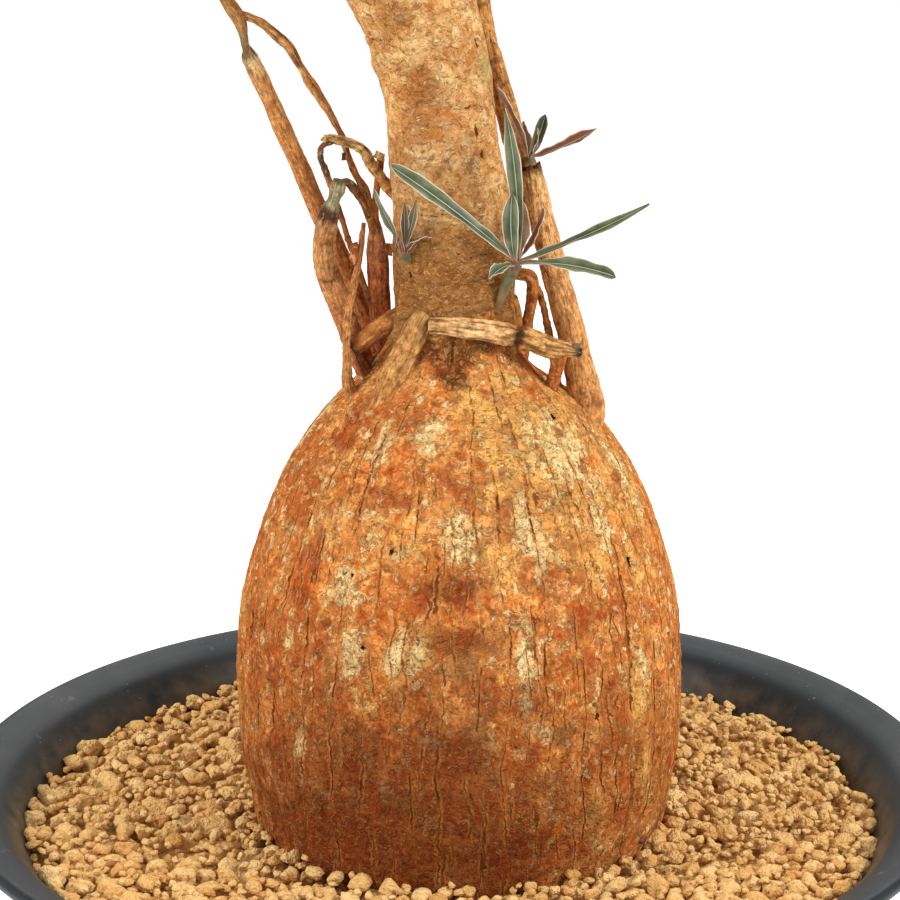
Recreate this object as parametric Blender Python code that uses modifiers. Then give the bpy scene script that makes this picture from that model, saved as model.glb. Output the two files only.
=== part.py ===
"""Potted desert rose: a bottle-shaped caudex plant in a round plastic bowl of clay granules.

The origin is the middle of the pot's underside, +Z is up and -Y faces the viewer. Sizes in this
file are millimetres and are turned to metres where a mesh is made.
"""
import math
import random

import bpy
import bmesh
from mathutils import Matrix, Vector, noise
from mathutils.geometry import delaunay_2d_cdt

MM = 0.001

# Driving dimensions, in millimetres
POT_RIM_RADIUS = 120.0
POT_HEIGHT = 100.0
POT_SIDES = 44
SOIL_LEVEL = 90.0
GRAIN_PITCH = 8.4
GRAIN_RISE = (0.2, 1.8)
HOLLOW_DEPTH = (1.4, 2.4)
PLANT_X = 2.0
CAUDEX_SIDES = 72
HOLLOW_SIDES = 36
CAUDEX_GROOVE = 1.6
BEVEL_OF_TRUNK = 10
BEVEL_OF_BRANCH = 4
BEVEL_OF_TWIG = 2
BLADE_THICKNESS = 0.7
SEAT_GAP = 0.3

# Height and radius of the caudex, from the blunt taproot to the foot of the trunk
CAUDEX_RADII = (
    (36, 6), (40, 17), (48, 30), (60, 41), (72, 46.5), (85, 49.4), (97, 51.4), (110, 53.4), (123, 54.0),
    (136, 53.2), (149, 51.2), (160, 48.2), (169, 44.9), (177, 40.9), (185, 35.7), (193, 29.3),
    (201, 21.2), (209, 16.0), (217, 13.6),
)
ROOT_TIP = CAUDEX_RADII[0][0]
NECK = CAUDEX_RADII[-1][0]

# Height and radius of the bowl's inside, which flares out more and more towards the lip
INNER_WALL = ((9.0, 76.5), (38, 88.5), (66, 97.0), (83, 101.6), (90, 104.7), (95.6, 108.6))
FLOOR_TOP = 6.0
FLOOR_RADIUS = 70.0

# Middle line of the trunk with its radius: x, y, z, r. It leans to the left towards its fork.
TRUNK_ROUTE = (
    (1.6, 0, 198, 13.0), (1.4, 0, 207, 14.6), (0.8, 0, 218, 14.2), (0.7, 0, 234, 14.1), (-1.5, 0, 250, 12.9),
    (-3.0, 0, 265, 12.6), (-6.0, 0, 279, 13.1), (-11.0, 0, 293, 14.9), (-16.0, 0.5, 303, 15.4),
    (-18.5, 1.0, 310, 11.0),
)

# Woody stems that rise from the collar: x, y, z, r along each one, from root to tip
WOODY_STEMS = {
    "long left stem": (
        (-14.5, 6.5, 194, 3.0), (-18.3, 7, 202.3, 3.0), (-21.5, 6.5, 213.8, 2.6), (-31.1, 5, 237.4, 2.3),
        (-40.6, 3, 260.4, 2.1), (-45.6, 2, 271.6, 1.9), (-46.7, 2, 274.8, 0.9), (-47.4, 2, 277.6, 1.1),
        (-48.4, 2, 281.5, 1.6), (-52.1, 2, 287.4, 1.4), (-57.5, 2.5, 300, 1.2), (-60.3, 4, 311, 1.0)),
    "thin stem from its fork": (
        (-49.2, 2, 282.2, 0.9), (-45.4, 2, 281.5, 1.0), (-38.3, 1, 276.2, 1.1), (-31.8, 0, 266.7, 1.0),
        (-26.2, 0.5, 257.2, 0.8), (-23.1, 2, 248.2, 0.9), (-19.1, 2.5, 238.8, 1.2), (-17.4, 3, 231.5, 1.5)),
    "upright left stub": (
        (-12.5, 2.5, 199, 2.4), (-16, 3, 206.6, 2.3), (-16.9, 3, 217.4, 2.5), (-17.3, 3, 227, 2.4),
        (-17.7, 3, 233.2, 1.4)),
    "cut twig on the stub": (
        (-17.6, 3, 230.5, 1.1), (-17.7, 2.5, 236.7, 0.9), (-16.9, 1.7, 244.5, 0.8), (-16.2, 1, 250.3, 0.8)),
    "arch from the trunk": (
        (-9.5, 0, 237.5, 1.6), (-13.9, -1, 242.5, 1.3), (-17.7, -2, 247.7, 1.4), (-20.6, -2.6, 252.2, 1.2),
        (-25.9, -3, 254.4, 1.0), (-29.0, -3, 255.0, 0.6)),
    "twig hanging off the arch": (
        (-26.4, -3, 254.2, 0.7), (-29.5, -2.6, 252.8, 0.6), (-29.9, -2, 249.8, 0.8), (-28.4, 0, 245.3, 0.7),
        (-25.8, 1.5, 236.4, 0.7), (-22.2, 1.5, 225.1, 0.7), (-18.2, 2.8, 213.2, 0.8)),
    "horn": (
        (-16.5, -1, 194.5, 3.2), (-20.9, -1, 201.7, 3.1), (-24.2, -2.5, 213.3, 3.0),
        (-28.0, -3.5, 223.6, 3.0), (-29.1, -4, 230.5, 2.7), (-28.0, -3.7, 237.6, 2.3),
        (-27.0, -3.5, 240.8, 1.6), (-26.1, -3.5, 243.6, 1.8), (-25.6, -3.5, 245.4, 1.2)),
    "twig off the horn": (
        (-26.2, -3.2, 243.8, 0.9), (-23.9, -2, 244.5, 0.9), (-20.9, 1.0, 240, 0.9), (-18.2, 2.7, 234.0, 1.0)),
    "front left twig": (
        (-20.0, -6.5, 190.5, 2.0), (-23.7, -8, 197.2, 1.6), (-24.2, -9, 203.5, 1.0),
        (-23.8, -10.2, 214.8, 0.9), (-21.4, -10, 226.2, 0.8), (-19.9, -8.6, 236.2, 0.5)),
    "cross stub": (
        (-8.5, -4, 214.6, 2.2), (-13.2, -7, 213.4, 2.2), (-18.1, -8, 210.3, 2.3), (-22.6, -8, 206.7, 2.0)),
    "stub under it": ((-21.9, -7.2, 206.4, 1.2), (-20.6, -5.5, 202.5, 1.3), (-17.6, -3.5, 197.0, 1.6)),
    "front root": (
        (-5.2, -10.8, 216.0, 1.6), (-8.2, -11.8, 213.2, 2.6), (-11.1, -12.2, 207.2, 3.0),
        (-13.6, -13.4, 202.6, 2.9), (-16.4, -15.0, 197.4, 2.2)),
    "broken twig across the collar": (
        (-4.9, -14.5, 214.6, 1.2), (-0.7, -15.4, 214.3, 1.5), (5.5, -15.6, 212.9, 1.8),
        (12.6, -14.8, 211.6, 2.0), (14.6, -14.5, 211.2, 1.5), (16.6, -14.0, 210.3, 2.0),
        (22.8, -12.2, 207.6, 2.0), (26.3, -11.2, 206.9, 1.5), (30.0, -10.2, 206.0, 0.7)),
    "leg under the broken twig": (
        (25.0, -11.4, 206.6, 2.0), (24.4, -9.4, 202.0, 1.6), (22.6, -6.6, 194.0, 1.3)),
    "right stem": (
        (28.0, -2, 180, 4.4), (32.0, -2, 189.9, 4.2), (30.9, -0.8, 196.5, 3.8), (27.9, 0.5, 209.7, 3.3),
        (22.9, 3, 227.9, 3.0), (20.2, 4.5, 239.0, 2.8), (18.6, 5.5, 246.6, 2.4)),
    "upper right stem": (
        (20.4, 5.2, 234.0, 1.8), (16.8, 8.4, 244.2, 2.1), (14.3, 9.0, 254.0, 2.6), (11.1, 10.0, 266.1, 2.4),
        (8.1, 11.5, 276.5, 2.2), (6.9, 14.0, 287, 2.1), (7.4, 16.0, 300, 1.9), (9.6, 17.0, 314, 1.6),
        (13.0, 17.5, 327, 1.4)),
    "hook": (
        (11.5, -1, 221.5, 1.3), (15.6, -1.4, 222.8, 1.4), (18.8, -2, 221.3, 1.5), (18.2, -0.5, 213.5, 1.3),
        (17.0, 0, 202.5, 1.4)),
    "twig off the hook": (
        (18.6, -1.4, 220.8, 0.9), (20.9, 0, 217.3, 0.8), (24.2, 1, 202.0, 0.9), (25.2, 1, 194.0, 1.0)),
    "left crown branch": (
        (-15.5, 0, 297, 11.4), (-26, -2, 314, 10.4), (-38, -4, 333, 9.2), (-48, -4, 352, 8.2),
        (-54, -3, 368, 6.4)),
    "front crown branch": (
        (-14, -2, 298, 9.6), (-4, -10, 317, 8.8), (5, -18, 338, 7.8), (9, -23, 356, 5.8)),
    "back crown branch": (
        (-15, 3, 298, 9.2), (-16, 15, 318, 8.2), (-17, 27, 338, 7.0), (-15, 34, 352, 5.4)),
}

# Leaf blades of the three shoots above the collar: root, tip, width, bow of the middle, upper side
TRUNK_RIGHT_STUB = (
    (10.2, -6.0, 217.0, 1.0), (13.0, -9.0, 222.0, 2.0), (14.4, -12.4, 226.4, 1.5), (15.0, -13.6, 228.6, 1.2))
TRUNK_RIGHT_BLADES = (
    ((14.6, -13.8, 228.4), (-13.9, -18.6, 250.9), 3.4, (0.4, -1.8, 0.8), (0.4, -0.8, 0.5)),
    ((14.6, -14.2, 228.2), (13.7, -17.5, 244.3), 3.7, (-0.6, -0.6, 0), (-0.3, -1, 0.2)),
    ((15.2, -13.6, 228.6), (12.2, -15.0, 263.3), 3.2, (1.0, -1.6, 0), (-0.3, -1, 0.2)),
    ((15.2, -13.6, 228.4), (16.1, -12.6, 241.7), 3.0, (0.5, -0.6, 0), (0.9, -0.6, 0.2)),
    ((15.4, -13.0, 228.4), (21.1, -8.4, 239.5), 2.4, (0.4, -0.4, 0), (1, -0.6, 0.2)),
    ((15.2, -13.6, 228.0), (45.0, -11.0, 241.0), 2.6, (0, -0.6, -0.8), (-0.3, -0.5, 0.9)),
    ((15.2, -13.8, 227.6), (37.3, -17.0, 225.2), 3.5, (0, 0, 1.2), (0.1, -0.5, 1)),
    ((14.4, -14.0, 227.4), (8.6, -19.0, 224.9), 3.2, (0, -0.4, 1.0), (-0.2, -0.7, 1)),
)
TRUNK_LEFT_STUB = ((-8.2, -6.6, 226.0, 1.2), (-10.2, -9.4, 229.0, 1.7), (-10.8, -11.4, 231.4, 1.3))
TRUNK_LEFT_BLADES = (
    ((-10.8, -11.2, 231.0), (-17.4, -11.6, 244.3), 2.2, (-0.3, -0.4, 0), (-0.7, -0.7, 0.3)),
    ((-10.7, -11.4, 231.2), (-10.6, -15.0, 241.9), 2.0, (0, -0.4, 0), (0.4, -1, 0)),
    ((-10.4, -11.4, 231.2), (-7.8, -15.4, 242.6), 2.2, (0.3, -0.4, 0), (-0.5, -1, 0)),
    ((-10.2, -11.6, 230.9), (-4.3, -16.8, 234.4), 1.8, (0, 0, 0.6), (0, -0.3, 1)),
)
SIDE_STEM_STUB = ((18.51, 5.56, 247.02, 1.5), (18.05, 5.85, 249.3, 1.1))
SIDE_STEM_BLADES = (
    ((18.3, 5.3, 248.9), (33.5, 3.4, 256.0), 2.4, (0.3, 0, -0.4), (-0.3, 0.9, 0.5)),
    ((18.5, 5.4, 249.0), (21.9, 7.4, 258.7), 2.6, (0.3, 0.2, 0), (-0.4, -1, 0.2)),
    ((18.3, 5.0, 249.0), (20.2, 2.8, 256.2), 2.0, (0.2, -0.2, 0), (0.9, -0.3, 0.2)),
    ((18.0, 5.2, 249.0), (16.6, 3.4, 257.7), 2.5, (0, -0.3, 0), (0.8, -0.8, 0.2)),
    ((17.9, 5.2, 248.8), (10.4, -5.0, 266.6), 2.2, (0.6, -1.0, 0), (-0.6, -0.6, -0.4)),
)

# Leafy tips of the branches: stem end, direction, radius there, number of leaves, length, seed
LEAFY_TIPS = {
    "crown_left": ((-54, -3, 368), (-0.30, 0.05, 0.95), 6.4, 9, 34, 11),
    "crown_front": ((9, -23, 356), (0.20, -0.25, 0.95), 5.8, 9, 32, 23),
    "crown_back": ((-15, 34, 352), (0.10, 0.40, 0.90), 5.4, 8, 30, 37),
    "tip_left_stem": ((-60.3, 4, 311), (-0.15, 0.12, 0.98), 1.0, 4, 22, 41),
    "tip_right_stem": ((13.0, 17.5, 327), (0.25, 0.05, 0.97), 1.4, 4, 24, 53),
}


def clear_scene():
    """Remove every object, so that the file holds this part alone."""
    for thing in list(bpy.data.objects):
        bpy.data.objects.remove(thing, do_unlink=True)


def collection(name):
    group = bpy.data.collections.new(name)
    bpy.context.scene.collection.children.link(group)
    return group


def principled(name, colour, roughness):
    """One plain surface: a base colour as linear RGB, no metal."""
    made = bpy.data.materials.new(name)
    made.use_nodes = True
    shader = made.node_tree.nodes["Principled BSDF"]
    shader.inputs["Base Color"].default_value = (*colour, 1.0)
    shader.inputs["Roughness"].default_value = roughness
    shader.inputs["Metallic"].default_value = 0.0
    return made


def evaluated_mesh(thing):
    """The mesh of an object with its modifiers or its curve bevel applied."""
    bpy.context.view_layer.update()
    graph = bpy.context.evaluated_depsgraph_get()
    return bpy.data.meshes.new_from_object(thing.evaluated_get(graph))


def smooth_value(knots, at):
    """Value of a smooth curve through (position, value) knots, without overshoot."""
    xs = [knot[0] for knot in knots]
    ys = [knot[1] for knot in knots]
    if at <= xs[0]:
        return ys[0]
    if at >= xs[-1]:
        return ys[-1]
    place = max(i for i in range(len(xs) - 1) if xs[i] <= at)
    slopes = [(ys[i + 1] - ys[i]) / (xs[i + 1] - xs[i]) for i in range(len(xs) - 1)]

    def tangent(i):
        if i == 0 or i == len(xs) - 1:
            return slopes[min(i, len(slopes) - 1)]
        before, after = slopes[i - 1], slopes[i]
        if before * after <= 0:
            return 0.0
        return 2 * before * after / (before + after)

    width = xs[place + 1] - xs[place]
    t = (at - xs[place]) / width
    start, end = ys[place], ys[place + 1]
    return ((2 * t ** 3 - 3 * t ** 2 + 1) * start + (t ** 3 - 2 * t ** 2 + t) * width * tangent(place)
            + (-2 * t ** 3 + 3 * t ** 2) * end + (t ** 3 - t ** 2) * width * tangent(place + 1))


def turned(name, profile, sides, group, centre_x=0.0):
    """A solid of revolution about +Z from (radius, height) points, top to bottom on its outside."""
    mesh = bpy.data.meshes.new(name)
    corners = [(r * MM, 0, z * MM) for r, z in profile]
    mesh.from_pydata(corners, [(i, i + 1) for i in range(len(corners) - 1)], [])
    thing = bpy.data.objects.new(name, mesh)
    thing.location.x = centre_x * MM
    group.objects.link(thing)
    spin = thing.modifiers.new("Turn", "SCREW")
    spin.axis = "Z"
    spin.angle = math.tau
    spin.steps = sides
    spin.render_steps = sides
    spin.use_merge_vertices = True
    spin.merge_threshold = 0.0001
    spin.use_smooth_shade = True
    return thing


def smooth_route(route, count):
    """Points and radii on a smooth curve through a route of (x, y, z, r)."""
    stations = [Vector(point) for point in route]
    ends = [stations[0] * 2 - stations[1], *stations, stations[-1] * 2 - stations[-2]]
    made = []
    spans = len(stations) - 1
    for step in range(count + 1):
        along = min(step * spans / count, spans - 1e-6)
        i = int(along)
        t = along - i
        a, b, c, d = ends[i:i + 4]
        made.append(0.5 * (2 * b + (c - a) * t + (2 * a - 5 * b + 4 * c - d) * t ** 2
                           + (3 * b - a - 3 * c + d) * t ** 3))
    return made


def tube(name, route, count, bevel, group, extra=0.0):
    """A round stem along a route, closed at both ends, as a welded mesh."""
    points = smooth_route(route, count)
    curve = bpy.data.curves.new(name, "CURVE")
    curve.dimensions = "3D"
    curve.bevel_depth = MM
    curve.bevel_resolution = bevel
    curve.use_fill_caps = True
    spline = curve.splines.new("POLY")
    spline.points.add(len(points) - 1)
    for target, (x, y, z, r) in zip(spline.points, points):
        target.co = (x * MM, y * MM, z * MM, 1)
        target.radius = max(r, 0.4) + extra
    guide = bpy.data.objects.new(name + " route", curve)
    group.objects.link(guide)
    mesh = evaluated_mesh(guide)
    welded = bmesh.new()
    welded.from_mesh(mesh)
    bmesh.ops.remove_doubles(welded, verts=welded.verts, dist=0.00002)
    welded.to_mesh(mesh)
    welded.free()
    solid = bpy.data.objects.new(name, mesh)
    solid.matrix_world = guide.matrix_world
    group.objects.link(solid)
    bpy.data.objects.remove(guide)
    return solid


def join_all(base, extras):
    """Fuse every object of a collection into the base object and remove them."""
    join = base.modifiers.new("Join", "BOOLEAN")
    join.operation = "UNION"
    join.operand_type = "COLLECTION"
    join.collection = extras
    join.solver = "EXACT"
    mesh = evaluated_mesh(base)
    base.modifiers.clear()
    base.data = mesh
    for extra in list(extras.objects):
        bpy.data.objects.remove(extra)
    bpy.data.collections.remove(extras)


def cut(thing, cutter, name):
    """Take a cutter away from a piece; the cutter stays hidden in its own collection."""
    cutter.hide_render = True
    cutter.display_type = "WIRE"
    hole = thing.modifiers.new(name, "BOOLEAN")
    hole.operation = "DIFFERENCE"
    hole.solver = "EXACT"
    hole.object = cutter
    return hole


def make_pot(parts, cutters):
    """Moulded plastic bowl: flared rim, rolled lip, ring foot and drainage holes."""
    lip = POT_RIM_RADIUS
    top = POT_HEIGHT
    inside = [(0, FLOOR_TOP), (FLOOR_RADIUS, FLOOR_TOP), *[(r, z) for z, r in INNER_WALL]]
    rim = [(113.4, top - 2.2), (118.4, top - 0.2), (lip, top - 1.0), (lip - 0.6, top - 2.8)]
    outside = [(111.6, top - 6.8), (106.8, 89), (103.8, 80.5), (91.6, 38), (80.8, 5)]
    foot = [(76.4, 0), (60, 0), (58.5, 2), (36, 2), (34.5, 0), (0, 0)]
    pot = turned("pot", inside + rim + outside + foot, POT_SIDES, parts)
    hole_radius, hole_ring, holes = 5.0, 47.0, 6
    for i in range(holes):
        angle = math.tau * (i + 0.5) / holes
        bpy.ops.mesh.primitive_cylinder_add(vertices=16, radius=hole_radius * MM, depth=14 * MM)
        drain = bpy.context.object
        drain.name = f"drain cutter {i + 1}"
        drain.location = (hole_ring * math.cos(angle) * MM, hole_ring * math.sin(angle) * MM, 3 * MM)
        for group in list(drain.users_collection):
            group.objects.unlink(drain)
        cutters.objects.link(drain)
        cut(pot, drain, f"Drain {i + 1}")
    pot.data.materials.append(principled("slate grey plastic", (0.035, 0.042, 0.050), 0.45))
    return pot


def caudex_radius(height):
    return smooth_value(CAUDEX_RADII, height)


def grain_tops(draw):
    """Middles of the granules: a jittered hexagonal lattice over the soil, none under the caudex."""
    reach = POT_RIM_RADIUS + 2
    bare = caudex_radius(SOIL_LEVEL) - 5
    rows = int(reach / (GRAIN_PITCH * 0.866)) + 1
    made = [(PLANT_X, 0.0)]
    for row in range(-rows, rows + 1):
        for step in range(-rows - 4, rows + 5):
            x = (step + 0.5 * (row % 2)) * GRAIN_PITCH + draw.uniform(-0.26, 0.26) * GRAIN_PITCH
            y = row * 0.866 * GRAIN_PITCH + draw.uniform(-0.26, 0.26) * GRAIN_PITCH
            if math.hypot(x, y) < reach and math.hypot(x - PLANT_X, y) > bare:
                made.append((x, y))
    return made


def make_grain_block(name, group):
    """A block whose top is covered with granules: each one a cell that rises to a blunt point."""
    draw = random.Random(7)
    middles = grain_tops(draw)
    found = delaunay_2d_cdt([Vector(p) for p in middles], [], [], 0, 1e-6)
    spots, triangles = found[0], found[2]
    around = {}
    hollows = []
    block = bmesh.new()
    for triangle in triangles:
        x = sum(spots[i].x for i in triangle) / 3
        y = sum(spots[i].y for i in triangle) / 3
        depth = draw.uniform(*HOLLOW_DEPTH)
        hollows.append(block.verts.new((x * MM, y * MM, (SOIL_LEVEL - depth) * MM)))
        for i in triangle:
            around.setdefault(i, []).append(hollows[-1])
    edge_cells = set()
    counts = {}
    for triangle in triangles:
        for a, b in zip(triangle, triangle[1:] + triangle[:1]):
            counts[frozenset((a, b))] = counts.get(frozenset((a, b)), 0) + 1
    for pair, uses in counts.items():
        if uses == 1:
            edge_cells |= pair
    for i, ring in around.items():
        if i in edge_cells or len(ring) < 3:
            continue
        mid = spots[i]
        ring.sort(key=lambda v: math.atan2(v.co.y - mid.y * MM, v.co.x - mid.x * MM))
        under_wall = math.hypot(mid.x, mid.y) > POT_RIM_RADIUS - 17
        rise = draw.uniform(-0.6, -0.2) if under_wall else draw.uniform(*GRAIN_RISE)
        peak = block.verts.new((mid.x * MM, mid.y * MM, (SOIL_LEVEL + rise) * MM))
        for a, b in zip(ring, ring[1:] + ring[:1]):
            block.faces.new((peak, a, b))
    loose = [v for v in block.verts if not v.link_faces]
    bmesh.ops.delete(block, geom=loose, context="VERTS")
    rim = [edge for edge in block.edges if edge.is_boundary]
    grown = bmesh.ops.extrude_edge_only(block, edges=rim)["geom"]
    for item in grown:
        if isinstance(item, bmesh.types.BMVert):
            item.co.z = 1 * MM
    bottom = [item for item in grown if isinstance(item, bmesh.types.BMEdge) and item.is_boundary]
    bmesh.ops.edgeloop_fill(block, edges=bottom)
    bmesh.ops.recalc_face_normals(block, faces=block.faces)
    mesh = bpy.data.meshes.new(name)
    block.to_mesh(mesh)
    block.free()
    thing = bpy.data.objects.new(name, mesh)
    group.objects.link(thing)
    return thing


def make_soil(parts, cutters):
    """Granules filling the bowl to just under the rim, with a plain hollow for the plant."""
    floor = FLOOR_TOP + SEAT_GAP
    side = [(r - SEAT_GAP, z) for z, r in reversed(INNER_WALL)]
    profile = [(0, INNER_WALL[-1][0]), *side, (FLOOR_RADIUS, floor), (0, floor)]
    soil = turned("soil", profile, POT_SIDES, parts)
    grains = make_grain_block("grain block", cutters)
    grains.hide_render = True
    grains.display_type = "WIRE"
    keep = soil.modifiers.new("Granules", "BOOLEAN")
    keep.operation = "INTERSECT"
    keep.solver = "EXACT"
    keep.object = grains
    clearance = SEAT_GAP + 0.35
    heights = (SOIL_LEVEL + 12, SOIL_LEVEL + 3, 72, 60, 48, 40)
    hollow = [(0, heights[0])]
    hollow += [(caudex_radius(min(z, SOIL_LEVEL + 3)) + clearance, z) for z in heights]
    hollow += [(caudex_radius(ROOT_TIP) + clearance, ROOT_TIP - clearance), (0, ROOT_TIP - clearance)]
    cutter = turned("root hollow cutter", hollow, HOLLOW_SIDES, cutters, PLANT_X)
    cut(soil, cutter, "Root hollow")
    soil.data.materials.append(principled("tan clay granules", (0.52, 0.30, 0.13), 0.95))
    return soil


def bark_cracks():
    """Which of the upright rows of points lie in a crack, and how deep each crack is."""
    draw = random.Random(19)
    depths = {}
    row = 0
    while row < CAUDEX_SIDES - 1:
        depths[row] = CAUDEX_GROOVE * draw.uniform(0.6, 1.25)
        row += draw.choice((2, 2, 3, 3, 4))
    return depths


def bark_relief(spot, height, cracks):
    """Outward shift of the bark: long upright cracks and low lumps, none where it meets the soil."""
    turn = math.atan2(spot.y, spot.x) / math.tau
    row = round(turn * CAUDEX_SIDES) % CAUDEX_SIDES
    broken = 0.75 + 0.9 * noise.noise(Vector((row * 3.7, 0, height / 34)))
    crack = cracks.get(row, 0) * min(1, max(0, broken))
    lump = noise.noise(Vector((spot.x / 24, spot.y / 24, height / 30)))
    lower = min(1, max(0, (height - SOIL_LEVEL - 2) / 6))
    upper = min(1, max(0, (210 - height) / 12))
    return (0.45 * lump - 0.15 - crack) * lower * upper


def make_caudex(group):
    """The swollen base: a turned bottle shape with cracks sunk into its bark."""
    heights = [NECK, 211, 206, 202, 198, 194, 190, 185, 180, 174, 168, 161, 153, 144, 134, 123, 112,
               102, 94, 84, 72, 60, 48, 40, ROOT_TIP]
    profile = [(0, NECK), *[(caudex_radius(z), z) for z in heights], (0, ROOT_TIP)]
    guide = turned("caudex guide", profile, CAUDEX_SIDES, group)
    mesh = evaluated_mesh(guide)
    bpy.data.objects.remove(guide)
    cracks = bark_cracks()
    for vertex in mesh.vertices:
        flat = Vector((vertex.co.x, vertex.co.y, 0)) / MM
        if flat.length > 1:
            height = vertex.co.z / MM
            flat *= 1 + bark_relief(flat, height, cracks) / flat.length
            vertex.co.x = flat.x * MM
            vertex.co.y = flat.y * MM
        vertex.co.x += PLANT_X * MM
    thing = bpy.data.objects.new("adenium", mesh)
    group.objects.link(thing)
    return thing


def make_adenium(parts):
    """Caudex, trunk and woody stems, grown as one piece of wood."""
    wood = make_caudex(parts)
    extras = collection("wood to join")
    trunk = tube("trunk", TRUNK_ROUTE, 14, BEVEL_OF_TRUNK, extras)
    for vertex in trunk.data.vertices:
        at = vertex.co / MM
        swell = noise.noise(Vector((at.x / 11, at.y / 11, at.z / 16)))
        vertex.co += Vector((at.x - 1, at.y, 0)).normalized() * swell * 0.5 * MM
    for name, route in WOODY_STEMS.items():
        thick = max(point[3] for point in route)
        bevel = BEVEL_OF_BRANCH if thick > 5 else BEVEL_OF_TWIG
        tube(name, route, round((len(route) - 1) * 1.3), bevel, extras)
    join_all(wood, extras)
    wood.data.materials.append(principled("orange brown bark", (0.42, 0.16, 0.045), 0.8))
    return wood


def leaf_width(t):
    """Half width along a narrow leaf, as a share of its widest: slim stalk, blunt tip."""
    rise = math.sin(math.pi / 2 * min(1, t / 0.6)) ** 1.3
    fall = 1 - 0.75 * max(0, (t - 0.6) / 0.4) ** 2.4
    return (0.26 + 0.74 * rise) * fall


def leaf_blade(name, blade, steps, group, wave_start=0.0):
    """A narrow folded blade with a waved edge, thickened from its middle sheet."""
    root, tip, width, bow, face = blade
    root, tip, bow = Vector(root), Vector(tip), Vector(bow)
    along = (tip - root).normalized()
    across = along.cross(Vector(face)).normalized()
    up = across.cross(along)
    sheet = bmesh.new()
    bmesh.ops.create_grid(sheet, x_segments=2, y_segments=steps, size=1)
    for vertex in sheet.verts:
        side = vertex.co.x
        t = (vertex.co.y + 1) / 2
        half = width / 2 * leaf_width(t)
        middle = root.lerp(tip, t) + bow * 4 * t * (1 - t)
        fold = 0.30 * abs(side) * half
        wave = 0.16 * width * side * math.sin(math.tau * 1.6 * t + wave_start) * min(1, 4 * t)
        vertex.co = (middle + across * side * half + up * (fold + wave)) * MM
    bmesh.ops.triangulate(sheet, faces=sheet.faces)
    mesh = bpy.data.meshes.new(name)
    sheet.to_mesh(mesh)
    sheet.free()
    guide = bpy.data.objects.new(name + " sheet", mesh)
    group.objects.link(guide)
    skin = guide.modifiers.new("Thickness", "SOLIDIFY")
    skin.thickness = BLADE_THICKNESS * MM
    skin.offset = 0
    thing = bpy.data.objects.new(name, evaluated_mesh(guide))
    group.objects.link(thing)
    bpy.data.objects.remove(guide)
    return thing


def make_shoot(name, stub_route, blades, parts, green, steps=4):
    """A leafy shoot: a short stub with blades whose roots are sunk into it."""
    stub = tube(name + " stub", stub_route, max(3, 2 * (len(stub_route) - 1)), BEVEL_OF_TWIG, parts)
    shoot = bpy.data.objects.new(name, stub.data)
    parts.objects.link(shoot)
    bpy.data.objects.remove(stub)
    extras = collection(name + " blades")
    for i, blade in enumerate(blades):
        leaf_blade(f"{name} blade {i + 1}", blade, steps, extras, wave_start=1.9 * i)
    join_all(shoot, extras)
    shoot.data.materials.append(green)
    return shoot


def make_leafy_tip(name, tip, parts, green):
    """The end of a branch: a short green cone ringed by leaves at the turn of 137.5 degrees."""
    end, direction, radius, count, length, seed = tip
    draw = random.Random(seed)
    axis = Vector(direction).normalized()
    start = Vector(end) + axis * SEAT_GAP
    height = 4 + radius * 0.9
    top = start + axis * height
    middle = start + axis * height * 0.5
    stub = ((*start, radius * 0.92), (*middle, radius * 0.74), (*top, radius * 0.34 + 0.3))
    sideways = axis.orthogonal().normalized()
    blades = []
    for i in range(count):
        share = (i + 0.5) / count
        turn = Matrix.Rotation(math.radians(137.5) * i, 3, axis) @ sideways
        lift = math.radians(16 + 56 * share + draw.uniform(-5, 5))
        heading = (turn * math.cos(lift) + axis * math.sin(lift)).normalized()
        root = start + axis * height * (0.5 + 0.42 * share) + turn * radius * 0.12
        reach = length * (1 - 0.35 * share) * draw.uniform(0.88, 1.08)
        face = (axis * math.cos(lift) - turn * math.sin(lift)).normalized()
        blades.append((root, root + heading * reach, draw.uniform(3.2, 4.0), face * reach * 0.05, face))
    return make_shoot(name, stub, blades, parts, green, steps=3)


def seat_on_trunk(shoot, cutters):
    """Trim the root of a shoot to the trunk's side, with a hair's gap between them."""
    cutter = tube(shoot.name + " seat cutter", TRUNK_ROUTE, 16, BEVEL_OF_TRUNK, cutters, extra=SEAT_GAP + 0.5)
    cut(shoot, cutter, "Seat")


def main():
    clear_scene()
    parts = collection("Potted desert rose")
    cutters = collection("Cutters")
    make_pot(parts, cutters)
    make_soil(parts, cutters)
    make_adenium(parts)
    green = principled("grey green leaf", (0.16, 0.24, 0.13), 0.5)
    right = make_shoot("shoot_trunk_right", TRUNK_RIGHT_STUB, TRUNK_RIGHT_BLADES, parts, green)
    left = make_shoot("shoot_trunk_left", TRUNK_LEFT_STUB, TRUNK_LEFT_BLADES, parts, green)
    seat_on_trunk(right, cutters)
    seat_on_trunk(left, cutters)
    make_shoot("shoot_side_stem", SIDE_STEM_STUB, SIDE_STEM_BLADES, parts, green)
    for name, tip in LEAFY_TIPS.items():
        make_leafy_tip(name, tip, parts, green)


main()
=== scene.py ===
"""A potted desert rose: bottle-shaped plant in a round plastic bowl of baked clay granules.

Sizes are in millimetres unless a line says otherwise, and MM turns them to the frame's metres.
The origin is the middle of the pot's underside, +Z is up and -Y faces the viewer.
"""

import math
import random

import bmesh
import bpy
import numpy as np
from mathutils import Matrix, Vector, noise


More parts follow.
